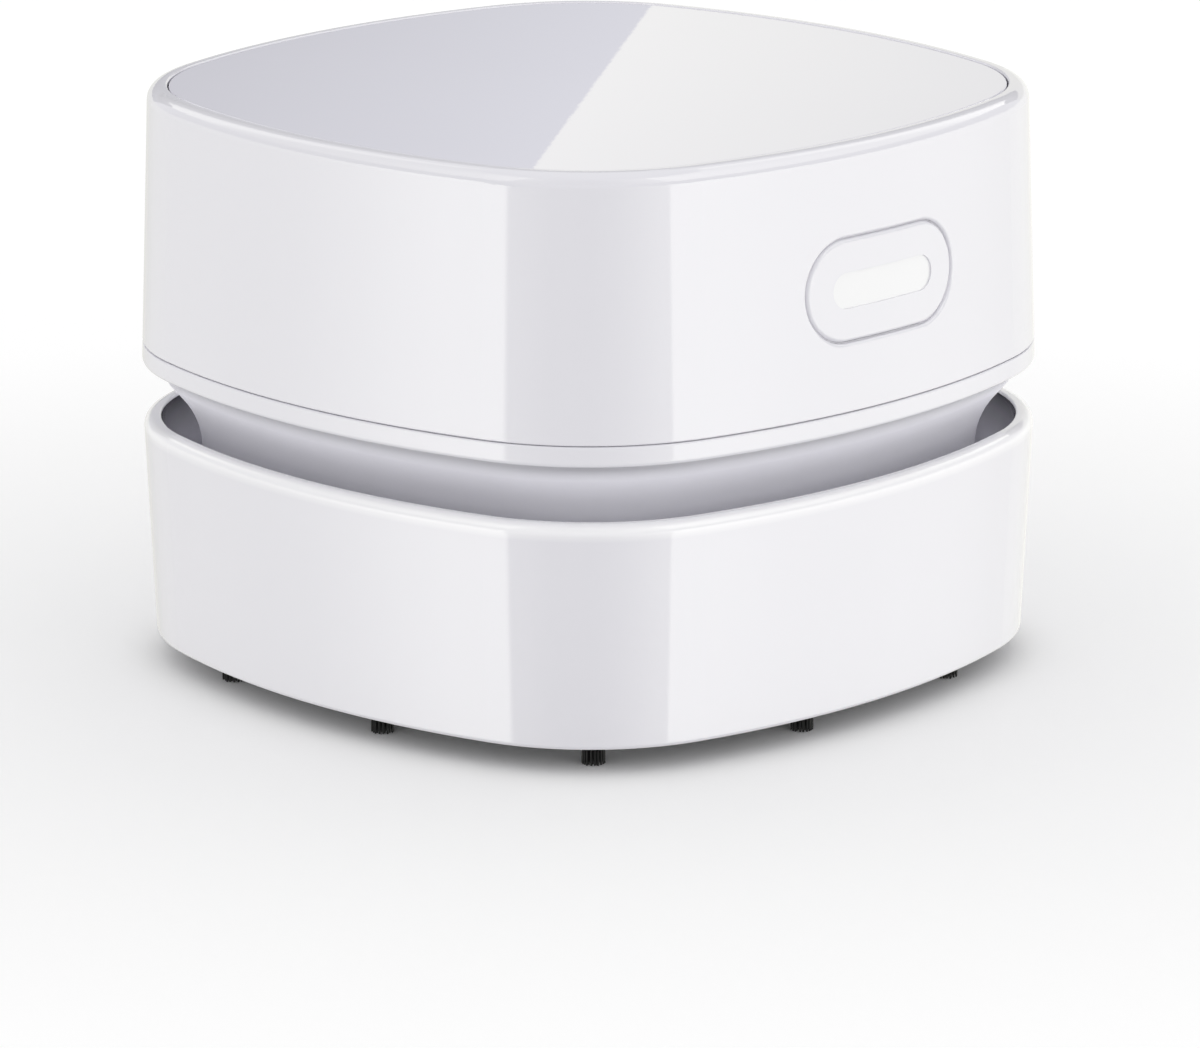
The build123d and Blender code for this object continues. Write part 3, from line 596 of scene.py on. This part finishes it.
def grow_tuft(work, centre, dice):
    """Rings of filaments round a centre, from their cut tips up to their roots."""
    for ring_place, count in enumerate(RING_COUNTS):
        for place in range(count):
            turn = math.tau * (place + 0.5 * (ring_place % 2)) / count
            turn += dice.uniform(-TURN_SPREAD, TURN_SPREAD)
            root_out = (TUFT_RADIUS - TUFT_MARGIN) * ring_place / RINGS_ACROSS
            tip_out = root_out * TIP_LEAN + dice.uniform(-TIP_SPREAD, TIP_SPREAD)
            tip_out = min(tip_out, TUFT_RADIUS - FILAMENT_RADIUS)
            cut = tip_level + (0 if place % LEVEL_EVERY == 0 else dice.uniform(0, CUT_SPREAD))
            line = []
            for share in HEIGHT_SHARES:
                out = tip_out + (root_out - tip_out) * share ** LEAN_CURVE
                height = cut + (root_level - cut) * share
                line.append(Vector((centre.x + out * math.cos(turn),
                                    centre.y + out * math.sin(turn), height)))
            thin_tube(work, line)


dice = random.Random(BRISTLE_SEED)
work = bmesh.new()
for centre in tufts:
    grow_tuft(work, centre, dice)
bristle_mesh = bpy.data.meshes.new("bristles")
work.to_mesh(bristle_mesh)
work.free()
print(len(tufts) * sum(RING_COUNTS), "filaments")


# %% Put a new piece into the scene
def new_piece(name, mesh, finish, smooth=True):
    """A new object with its finish, shaded smooth unless its faces are flat."""
    mesh.materials.append(finish.material)
    mesh.polygons.foreach_set("use_smooth", [smooth] * len(mesh.polygons))
    piece = bpy.data.objects.new(name, mesh)
    bpy.context.scene.collection.objects.link(piece)
    print("new piece:", name, "with", len(mesh.polygons), "faces")
    return piece


# %% Nylon for the bristles
def nylon(name):
    finish = Finish(name)
    strands = finish.noise(2600, 3.0, finish.scaled(1.0, 1.0, 0.12))
    finish.set("Base Color", finish.mix(strands, (0.003, 0.003, 0.0035), (0.013, 0.013, 0.014)))
    finish.set("Roughness", 0.55 + strands * 0.25)
    finish.set("Specular IOR Level", 0.15)
    finish.relief(strands, 0.01 * MM)
    return finish


bristles = new_piece("bristles", bristle_mesh, nylon("bristle_black"))
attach(bristles, "cup")
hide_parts("bristle_tufts")

# %% [markdown]
# ## The seal round the button
#
# A thin ring of pale silicone closes the slit between the button's cap and the shell, and keeps crumbs out
# of the switch. It lies just behind the two rounded edges, so the slit shows as a soft line and not as a
# black cut. A Boolean could cut the ring out of the wall, but points give cleaner faces. The slit is a
# capsule on a curved wall: each point of the ring is found on the flat capsule first, and then moved back
# onto the arc of the wall.

# %% Where the slit runs on the curved wall
HALF_WIDTH = 42.7 * MM
WALL_SLOPE = 0.0367
BUTTON_HEIGHT = 47.15 * MM
HOLE_HALF_LENGTH = 11.0 * MM
HOLE_HALF_HEIGHT = 5.45 * MM
CAPSULE_STEPS = 20


def on_front_wall(x, z, depth):
    """A point so deep behind the shell's front face, which is an arc struck from the opposite flat."""
    radius = 2 * HALF_WIDTH - (z - band_level) * WALL_SLOPE - depth
    return Vector((x, HALF_WIDTH - math.sqrt(radius ** 2 - x ** 2), z))


def capsule_line(inwards):
    """The slit's outline as (x, z) points, moved in from the edge of the hole."""
    radius = HOLE_HALF_HEIGHT - inwards
    middle = HOLE_HALF_LENGTH - HOLE_HALF_HEIGHT
    line = []
    for side in (1, -1):
        for step in range(CAPSULE_STEPS + 1):
            turn = math.pi * (step / CAPSULE_STEPS - 0.5)
            across = side * (middle + radius * math.cos(turn))
            line.append((across, BUTTON_HEIGHT + side * radius * math.sin(turn)))
        for step in range(1, CAPSULE_STEPS):
            across = side * middle * (1 - 2 * step / CAPSULE_STEPS)
            line.append((across, BUTTON_HEIGHT + side * radius))
    return line


print("the slit's outline has", len(capsule_line(0)), "points")


# %% A piece from rings of points
def faces_between(first, second, count):
    """Faces that join two closed rings, given by their numbers, of so many points each."""
    return [(first * count + step, first * count + (step + 1) % count,
             second * count + (step + 1) % count, second * count + step) for step in range(count)]


def closed_mesh(name, points, faces):
    """A mesh from points and faces that close up, with its faces turned outwards."""
    mesh = bpy.data.meshes.new(name)
    mesh.from_pydata(points, [], faces)
    work = bmesh.new()
    work.from_mesh(mesh)
    bmesh.ops.recalc_face_normals(work, faces=work.faces)
    work.to_mesh(mesh)
    work.free()
    return mesh


print("helpers ready: faces_between and closed_mesh")

# %% Lay the seal in the slit
SLIT = 0.13 * MM
SEAL_CLEARANCE = 0.02 * MM
SEAL_FRONT = 0.4 * MM
SEAL_BACK = 0.7 * MM
section = [(SEAL_CLEARANCE, SEAL_FRONT), (SLIT - SEAL_CLEARANCE, SEAL_FRONT),
           (SLIT - SEAL_CLEARANCE, SEAL_BACK), (SEAL_CLEARANCE, SEAL_BACK)]
seal_lines = [[on_front_wall(x, z, depth) for x, z in capsule_line(inwards)] for inwards, depth in section]
seal_faces = []
for side in range(len(section)):
    seal_faces += faces_between(side, (side + 1) % len(section), len(seal_lines[0]))
seal_mesh = closed_mesh("button_seal", [point for line in seal_lines for point in line], seal_faces)
silicone = soft_plastic("seal_silicone", (0.70, 0.69, 0.73), (0.66, 0.65, 0.69), 0.55)
button_seal = new_piece("button_seal", seal_mesh, silicone, smooth=False)
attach(button_seal, "upper")
print("the seal is", round((SLIT - 2 * SEAL_CLEARANCE) / MM, 2), "mm wide")

# %% [markdown]
# ## The button's return spring
#
# The spring gets shorter as the button goes in, which a rigid solid can't do. A coil of the same size takes
# its place. A Screw modifier could wind it, but a formula for its line is easy to fit between the switch
# and the cap. It is a stack of small rings that stand square to that line. Its wire is drawn a little
# thinner than the solid's, so that it stays inside the solid's box.

# %% Where the spring runs
SPRING_RADIUS = 2.5 * MM
WIRE_RADIUS = 0.15 * MM
DRAWN_RADIUS = 0.97 * WIRE_RADIUS
SPRING_TURNS = 2.5
SWITCH_FRONT = -35.4 * MM
CAP_BACK = -37.6 * MM
COIL_STEPS = 100
WIRE_SIDES = 10
spring_length = SWITCH_FRONT - CAP_BACK
coil_rise = spring_length - 2 * WIRE_RADIUS
coil_around = math.tau * SPRING_TURNS * SPRING_RADIUS


def coil_ring(place):
    """The ring of points round the wire at a place from 0 at the switch to 1 at the cap."""
    turn = math.tau * SPRING_TURNS * place
    out = Vector((math.cos(turn), 0, math.sin(turn)))
    middle = out * SPRING_RADIUS + Vector((0, SWITCH_FRONT - WIRE_RADIUS - coil_rise * place, BUTTON_HEIGHT))
    along = Vector((-math.sin(turn) * coil_around, -coil_rise, math.cos(turn) * coil_around)).normalized()
    beside = along.cross(out)
    return [middle + (out * math.cos(side) + beside * math.sin(side)) * DRAWN_RADIUS
            for side in (math.tau * step / WIRE_SIDES for step in range(WIRE_SIDES))]


print("the spring is", round(spring_length / MM, 1), "mm long")

# %% Wind the spring
coil_points = [point for step in range(COIL_STEPS + 1) for point in coil_ring(step / COIL_STEPS)]
coil_faces = []
for ring in range(COIL_STEPS):
    coil_faces += faces_between(ring, ring + 1, WIRE_SIDES)
first_end = tuple(range(WIRE_SIDES))
last_end = tuple(COIL_STEPS * WIRE_SIDES + side for side in first_end)
coil_mesh = closed_mesh("return_spring", coil_points, [*coil_faces, first_end, last_end])
return_spring = new_piece("return_spring", coil_mesh, spring_steel)
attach(return_spring, "upper")
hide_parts("button_spring")
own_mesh(return_spring)

# %% [markdown]
# ## The filter pad
#
# Behind the grille is a pad of white fibre. It is soft, so it bulges a little through each opening of the
# grille and is held flat under the bars. Cloth under pressure could swell it, but the bulge is less than
# half a millimetre, so a formula does it. A round grid of points makes the pad, and the formula, which is
# zero at the rim and over the bars, pushes its lower face out. Noise that is squeezed in two directions
# gives the crossing fibres of the felt.

# %% How far the pad bulges
GRILLE_RINGS = (3.2 * MM, 8.6 * MM, 14.0 * MM, 19.1 * MM)
GRILLE_SPOKES = 8
PAD_BULGE = 0.42 * MM
BULGE_CURVE = 0.6


def grille_opening(radius, turn):
    """0 under a bar of the grille, 1 in the middle of one of its openings."""
    radial = 0.0
    for inner, outer in zip(GRILLE_RINGS, GRILLE_RINGS[1:]):
        if inner < radius < outer:
            radial = math.sin(math.pi * (radius - inner) / (outer - inner))
    return radial * abs(math.sin(GRILLE_SPOKES / 2 * turn)) ** BULGE_CURVE


openings = GRILLE_SPOKES * (len(GRILLE_RINGS) - 1)
print("the pad bulges", round(PAD_BULGE / MM, 2), "mm through", openings, "openings")

# %% One face of the pad
pad_low, pad_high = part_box("filter_pad")
pad_radius = (pad_high.x - pad_low.x) / 2
PAD_RINGS = 40
PAD_SPOKES = 128
LEAST_PUSH = 0.9


def pad_face(work, level, bulge, dice):
    """The middle point and the rings of points of one face, which bulges through the openings."""
    rings = []
    for ring_place in range(1, PAD_RINGS + 1):
        radius = pad_radius * ring_place / PAD_RINGS
        ring = []
        for spoke in range(PAD_SPOKES):
            turn = math.tau * spoke / PAD_SPOKES
            push = bulge * grille_opening(radius, turn) * dice.uniform(LEAST_PUSH, 1.0)
            ring.append(work.verts.new((radius * math.cos(turn), radius * math.sin(turn), level + push)))
        rings.append(ring)
    return work.verts.new((0, 0, level)), rings


print("the pad is", round(2 * pad_radius / MM, 1), "mm across")

# %% Stitch the pad together
GAP_BELOW = 0.02 * MM
GAP_ABOVE = 0.05 * MM
PAD_SEED = 4


def stitch(work, inner, outer, flip):
    """Join two rings of points with faces."""
    for spoke in range(PAD_SPOKES):
        after = (spoke + 1) % PAD_SPOKES
        corners = [inner[spoke], outer[spoke], outer[after], inner[after]]
        work.faces.new(corners[::-1] if flip else corners)


def close_middle(work, middle, ring, flip):
    """Join the middle point to the first ring."""
    for spoke in range(PAD_SPOKES):
        corners = [middle, ring[spoke], ring[(spoke + 1) % PAD_SPOKES]]
        work.faces.new(corners[::-1] if flip else corners)


def filter_pad_mesh():
    work = bmesh.new()
    dice = random.Random(PAD_SEED)
    low_middle, low_rings = pad_face(work, pad_low.z + GAP_BELOW, -PAD_BULGE, dice)
    high_middle, high_rings = pad_face(work, pad_high.z - GAP_ABOVE, 0.0, dice)
    for middle, rings, flip in ((low_middle, low_rings, True), (high_middle, high_rings, False)):
        close_middle(work, middle, rings[0], flip)
        for inner, outer in zip(rings, rings[1:]):
            stitch(work, inner, outer, flip)
    stitch(work, low_rings[-1], high_rings[-1], False)
    mesh = bpy.data.meshes.new("filter_fleece")
    work.to_mesh(mesh)
    work.free()
    return mesh


print("each face of the pad has", PAD_RINGS, "rings of", PAD_SPOKES, "points")


# %% Felted fibre
def felt(name):
    finish = Finish(name)
    along_x = finish.noise(900, 5.0, finish.scaled(1.0, 6.0, 1.0), 0.7)
    along_y = finish.noise(900, 5.0, finish.scaled(6.0, 1.0, 1.0), 0.7)
    fibres = (along_y + along_x) * 0.5
    finish.set("Base Color", finish.mix(fibres, (0.58, 0.58, 0.56), (0.86, 0.86, 0.84)))
    finish.set("Roughness", 0.85 + fibres * 0.1)
    finish.set("Sheen Weight", 0.25)
    finish.relief(fibres, 0.12 * MM)
    return finish


fleece = new_piece("filter_fleece", filter_pad_mesh(), felt("filter_fabric"))
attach(fleece, "upper")
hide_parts("filter_pad")

# %% [markdown]
# ## A screen of light around the model
#
# White gloss only reads as gloss when it mirrors something. A round screen stands about the model, dim on
# the camera's side and bright from 40 degrees to either side of it. The side walls mirror the bright part,
# and the corner mirrors the dim part, which draws the upright band on it. A lit mesh does this better than
# a lamp, because its light can follow a list of turns and strengths. A canopy leans in above it, for the
# rounded edges that look up. The two leave a gap between them: the flat lid mirrors that height of the room
# when it is seen from the side or from behind, and a lit panel there would wash it out. Only gloss sees the
# screen and the canopy. If they also lit the matt white underneath, the walls would wash out.

# %% Directions in the room
CAMERA_TURN = math.radians(314.42)


def around_room(turn, distance, height):
    """A point at so many degrees from the camera's side, positive to the right, as the camera sees it."""
    angle = CAMERA_TURN + math.radians(turn)
    return (distance * math.sin(angle), -distance * math.cos(angle), height)


print("the camera's side lies towards", [round(side, 2) for side in around_room(0, 1.0, 0.0)])

# %% Light that changes along a mesh
LIGHT_TINT = (1.0, 1.0, 0.93)


def glowing(name, stops, tint):
    """A tinted glow whose strength follows (u, strength) stops along the mesh."""
    material = bpy.data.materials.new(name)
    material.use_nodes = True
    graph = Graph(material.node_tree)
    strongest = max(strength for u, strength in stops)
    tinted = [(u, [strength / strongest * part for part in tint]) for u, strength in stops]
    along = graph.add("ShaderNodeTexCoord", {}, {}, "UV")
    u = graph.add("ShaderNodeSeparateXYZ", {}, {"Vector": along}, "X")
    colour = graph.add("ShaderNodeValToRGB", {"stops": tinted}, {"Fac": u}, "Color")
    light = graph.add("ShaderNodeEmission", {}, {"Color": colour, "Strength": strongest}, "Emission")
    graph.add("ShaderNodeOutputMaterial", {}, {"Surface": light})
    return material


def lit_strip(name, low_line, high_line, stops, tint=LIGHT_TINT):
    """A strip between two lines of points, with u from 0 at their start to 1 at their end."""
    steps = len(low_line) - 1
    faces = [(step, step + 1, steps + 2 + step, steps + 1 + step) for step in range(steps)]
    mesh = bpy.data.meshes.new(name)
    mesh.from_pydata(low_line + high_line, [], faces)
    layer = mesh.uv_layers.new(name="along")
    for corner in mesh.loops:
        layer.data[corner.index].uv = ((corner.vertex_index % (steps + 1)) / steps, 0.0)
    mesh.materials.append(glowing(name, stops, tint))
    strip = bpy.data.objects.new(name, mesh)
    strip.visible_camera = False
    strip.visible_diffuse = False
    strip.visible_shadow = False
    bpy.context.scene.collection.objects.link(strip)
    print(name, "has", steps, "panels and", len(stops), "strengths")


# %% Stand the screen around the model
PANEL_TURN = 3
SCREEN_FOOT = (0.9, -0.6)
SCREEN_TOP = (0.9, 0.15)
screen_light = [
    (-180, 0.8), (-150, 0.9), (-122, 1.5), (-112, 1.8), (-97, 2.2), (-88, 2.6), (-78, 3.4), (-70, 4.2),
    (-62, 4.8), (-50, 5.0), (-42.4, 5.0), (-42.0, 1.9), (-34, 1.6), (-20, 0.95), (0, 0.75), (12, 1.1),
    (24, 1.8), (33, 2.4), (40.0, 2.8), (40.4, 5.1), (60, 5.0), (67, 4.7), (73, 4.4), (82, 4.1), (96, 3.6),
    (110, 2.8), (122, 2.0), (150, 1.2), (180, 0.9),
]


def strip_around(name, low, high, stops):
    """A lit strip round the model between two (distance, height) rings, from (turn, strength) stops."""
    start = stops[0][0]
    sweep = stops[-1][0] - start
    steps = round(sweep / PANEL_TURN)
    turns = [start + sweep * step / steps for step in range(steps + 1)]
    lit_strip(name, [around_room(turn, *low) for turn in turns], [around_room(turn, *high) for turn in turns],
              [((turn - start) / sweep, strength) for turn, strength in stops])


strip_around("screen", SCREEN_FOOT, SCREEN_TOP, screen_light)

# %% Lean a canopy in over the screen
CANOPY_FOOT = (0.79, 0.42)
CANOPY_TOP = (0.55, 1.0)
canopy_light = [
    (-150, 1.0), (-140, 2.0), (-126, 2.2), (-118, 1.5), (-110, 1.3), (-97, 1.5), (-88, 1.7), (-78, 2.1),
    (-70, 2.4), (-62, 2.7), (-50, 3.0), (-42.4, 3.0), (-42.0, 1.3), (-34, 1.1), (-20, 0.7), (0, 0.5),
    (12, 0.8), (24, 1.3), (33, 1.7), (40.0, 2.0), (40.4, 3.7), (67, 3.4), (82, 2.9), (96, 2.5), (110, 2.1),
    (120, 2.1), (128, 2.7), (142, 2.7), (152, 1.0),
]
strip_around("canopy", CANOPY_FOOT, CANOPY_TOP, canopy_light)

# %% [markdown]
# ## What the lid mirrors
#
# The lid is flat and is seen at a low angle, so it mirrors a small patch of the room behind the model, low
# over the table. Two cards meet there along a slanted edge, one dim and one bright. That edge runs across
# the lid and shows that it is polished. A dark flag leans in above both cards: the rounded edges at the
# lid's gap mirror it, and so the gap shows as a fine grey line.

# %% Two cards behind the model
BACK_DISTANCE = 1.6
CARD_FOOT = 0.08
CARD_HEAD = 0.54
CARD_WIDTH = 1.2
CARD_STEPS = 12
EDGE_AT_FOOT = 0.223
EDGE_AT_HEAD = -0.107


def behind(across, height):
    """A point on a flat wall behind the model, in metres to the right and up, as the camera sees it."""
    return Vector(around_room(180, BACK_DISTANCE, height)) + across * Vector(around_room(90, 1.0, 0.0))


def card_line(edge, side, height):
    """Points from the slanted edge to the card's far side, which is to the right for 1 and left for -1."""
    return [behind(edge + side * CARD_WIDTH * step / CARD_STEPS, height) for step in range(CARD_STEPS + 1)]


cards = (("card_left", -1, ((0.0, 0.6), (0.13, 0.28), (1.0, 0.28)), (0.95, 0.97, 1.05)),
         ("card_right", 1, ((0.0, 1.1), (0.13, 0.86), (1.0, 0.86)), (1.0, 1.0, 0.9)))
for name, side, stops, tint in cards:
    low_line = card_line(EDGE_AT_FOOT, side, CARD_FOOT)
    lit_strip(name, low_line, card_line(EDGE_AT_HEAD, side, CARD_HEAD), stops, tint)
print("their edge leans", round((EDGE_AT_FOOT - EDGE_AT_HEAD) / MM), "mm")

# %% The flag above them
FLAG_TOP = (1.0, 1.0)
FLAG_GLOW = 0.1
flag_low = [behind(CARD_WIDTH * step / CARD_STEPS, CARD_HEAD) for step in range(-CARD_STEPS, CARD_STEPS + 1)]
flag_lean = Vector(around_room(180, *FLAG_TOP)) - behind(0, CARD_HEAD)
flag_high = [point + flag_lean for point in flag_low]
lit_strip("flag", flag_low, flag_high, ((0.0, FLAG_GLOW), (1.0, FLAG_GLOW)))

# %% [markdown]
# ## Lamps and world
#
# The matt part of the white is lit from all sides, like a model in a tent of white cloth: nearly all of
# that light comes from the world, which lets the waist and the cup's inside grow dark as they close in. It
# also lays a soft shadow all round the foot. The lamps only correct it. A weak one overhead lifts the lid,
# and four low ones lift the walls, most at the right. The world is pure white where it is seen, also in a
# mirror, and a little dimmer where it lights the model, so that nothing clips.


# %% Soft lamps
def soft_lamp(name, place, width, height, power, mirrored):
    lamp = bpy.data.objects.new(name, bpy.data.lights.new(name, "AREA"))
    lamp.data.shape = "RECTANGLE"
    lamp.data.size = width
    lamp.data.size_y = height
    lamp.data.energy = power
    lamp.location = place
    lamp.rotation_euler = (-lamp.location).to_track_quat("-Z", "Y").to_euler()
    lamp.visible_camera = False
    lamp.visible_glossy = mirrored
    bpy.context.scene.collection.objects.link(lamp)


soft_lamp("lamp_overhead", around_room(180, 0.2, 1.0), width=0.7, height=0.7, power=0.2, mirrored=True)
for turn, power in ((-45, 0.6), (45, 1.1), (-135, 0.6), (135, 0.6)):
    soft_lamp(f"lamp_{turn}", around_room(turn, 1.0, 0.3), width=0.7, height=0.5, power=power, mirrored=False)
print("five lamps")

# %% The world: white where it is seen, a little dimmer where it only lights
WORLD_LIGHT = 0.87
world = bpy.data.worlds.new("studio")
bpy.context.scene.world = world
world.use_nodes = True
room = Graph(world.node_tree)
camera_ray, glossy_ray, clear_ray = [room.add("ShaderNodeLightPath", {}, {}, f"Is {kind} Ray")
                                     for kind in ("Camera", "Glossy", "Transmission")]
seen = (camera_ray + glossy_ray + clear_ray).clamped()
strength = WORLD_LIGHT + seen * (1 - WORLD_LIGHT)
sky = room.add("ShaderNodeBackground", {}, {"Color": (1.0, 1.0, 1.0), "Strength": strength}, "Background")
room.add("ShaderNodeOutputWorld", {}, {"Surface": sky})
print("world light", WORLD_LIGHT)

# %% [markdown]
# ## The table
#
# The table is white, but the cleaner has to stand on it, so its shadow stays. The world gives the open
# table a bit less than full white. For the camera alone its colour grows with the distance from the model,
# from nearly white to a bit more than white, so the shadow keeps its depth and the far table is pure white.
# Close to the model it is painted a little darker: painted shade that deepens the shadow round the foot.
# Everything else sees a plain white table of one colour.

# %% Lay the table
HALF_TABLE = 3.0
table_mesh = bpy.data.meshes.new("table")
table_mesh.from_pydata([(-HALF_TABLE, -HALF_TABLE, 0), (HALF_TABLE, -HALF_TABLE, 0),
                        (HALF_TABLE, HALF_TABLE, 0), (-HALF_TABLE, HALF_TABLE, 0)], [], [(0, 1, 2, 3)])
table = bpy.data.objects.new("table", table_mesh)
table.visible_glossy = False
bpy.context.scene.collection.objects.link(table)
print("table", 2 * HALF_TABLE, "m across")

# %% Paint it white
TABLE_WHITE = 0.78
SEEN_NEAR_SHADED = 0.96
SEEN_FAR = 1.06
SEEN_HORIZON = 1.17
GRADE_START = 0.06
GRADE_LENGTH = 0.09
HORIZON_START = 0.4
HORIZON_LENGTH = 0.8


def grey(value):
    return (value, value, value)


table_top = bpy.data.materials.new("table_top")
table_top.use_nodes = True
graph = Graph(table_top.node_tree)
by_camera = graph.add("ShaderNodeLightPath", {}, {}, "Is Camera Ray")
place = graph.add("ShaderNodeTexCoord", {}, {}, "Object")
distance = graph.add("ShaderNodeVectorMath", {"operation": "LENGTH"}, {0: place}, "Value")
# Painted shade: for the camera the table is a little darker close to the model, round the foot.
painted_shade_grade = ((distance - GRADE_START) / GRADE_LENGTH).clamped()
far_grade = ((distance - HORIZON_START) / HORIZON_LENGTH).clamped()
seen_far = graph.mix(far_grade, grey(SEEN_FAR), grey(SEEN_HORIZON))
seen_white = graph.mix(painted_shade_grade, grey(SEEN_NEAR_SHADED), seen_far)
white = graph.mix(by_camera, grey(TABLE_WHITE), seen_white)
matt = graph.add("ShaderNodeBsdfDiffuse", {}, {"Color": white}, "BSDF")
graph.add("ShaderNodeOutputMaterial", {}, {"Surface": matt})
table_mesh.materials.append(table_top)
print("table white", TABLE_WHITE, "and, as the camera sees it,", SEEN_NEAR_SHADED, "to", SEEN_HORIZON)

# %% [markdown]
# ## The camera
#
# A long lens from about 0.7 m keeps the rounded square from flaring. The camera looks at the corner beside
# the button, from a little above, and the small shift centres the model in the frame.

# %% Place the camera
LENS = 197.3
SHIFT = 0.0093
DISTANCE = 703.7 * MM
ELEVATION = math.radians(15.33)
ROLL = math.radians(-0.11)
NEAREST = 0.05
FARTHEST = 20.0
TARGET = Vector((0, 0, 13.71 * MM))
away = Vector((math.cos(ELEVATION) * math.sin(CAMERA_TURN), -math.cos(ELEVATION) * math.cos(CAMERA_TURN),
               math.sin(ELEVATION)))
camera = bpy.data.objects.new("camera", bpy.data.cameras.new("camera"))
camera.data.lens = LENS
camera.data.sensor_width = 36.0
camera.data.shift_x = SHIFT
camera.data.clip_start = NEAREST
camera.data.clip_end = FARTHEST
camera.location = TARGET + away * DISTANCE
camera.rotation_mode = "QUATERNION"
camera.rotation_quaternion = (-away).to_track_quat("-Z", "Y") @ Quaternion((0, 0, 1), ROLL)
bpy.context.scene.collection.objects.link(camera)
bpy.context.scene.camera = camera
print("camera", round(DISTANCE, 2), "m away, with a", LENS, "mm lens")

# %% [markdown]
# ## Finish
#
# The view stays Standard, so a colour renders as it is written.

# %% Keep the view Standard
bpy.context.scene.view_settings.view_transform = "Standard"
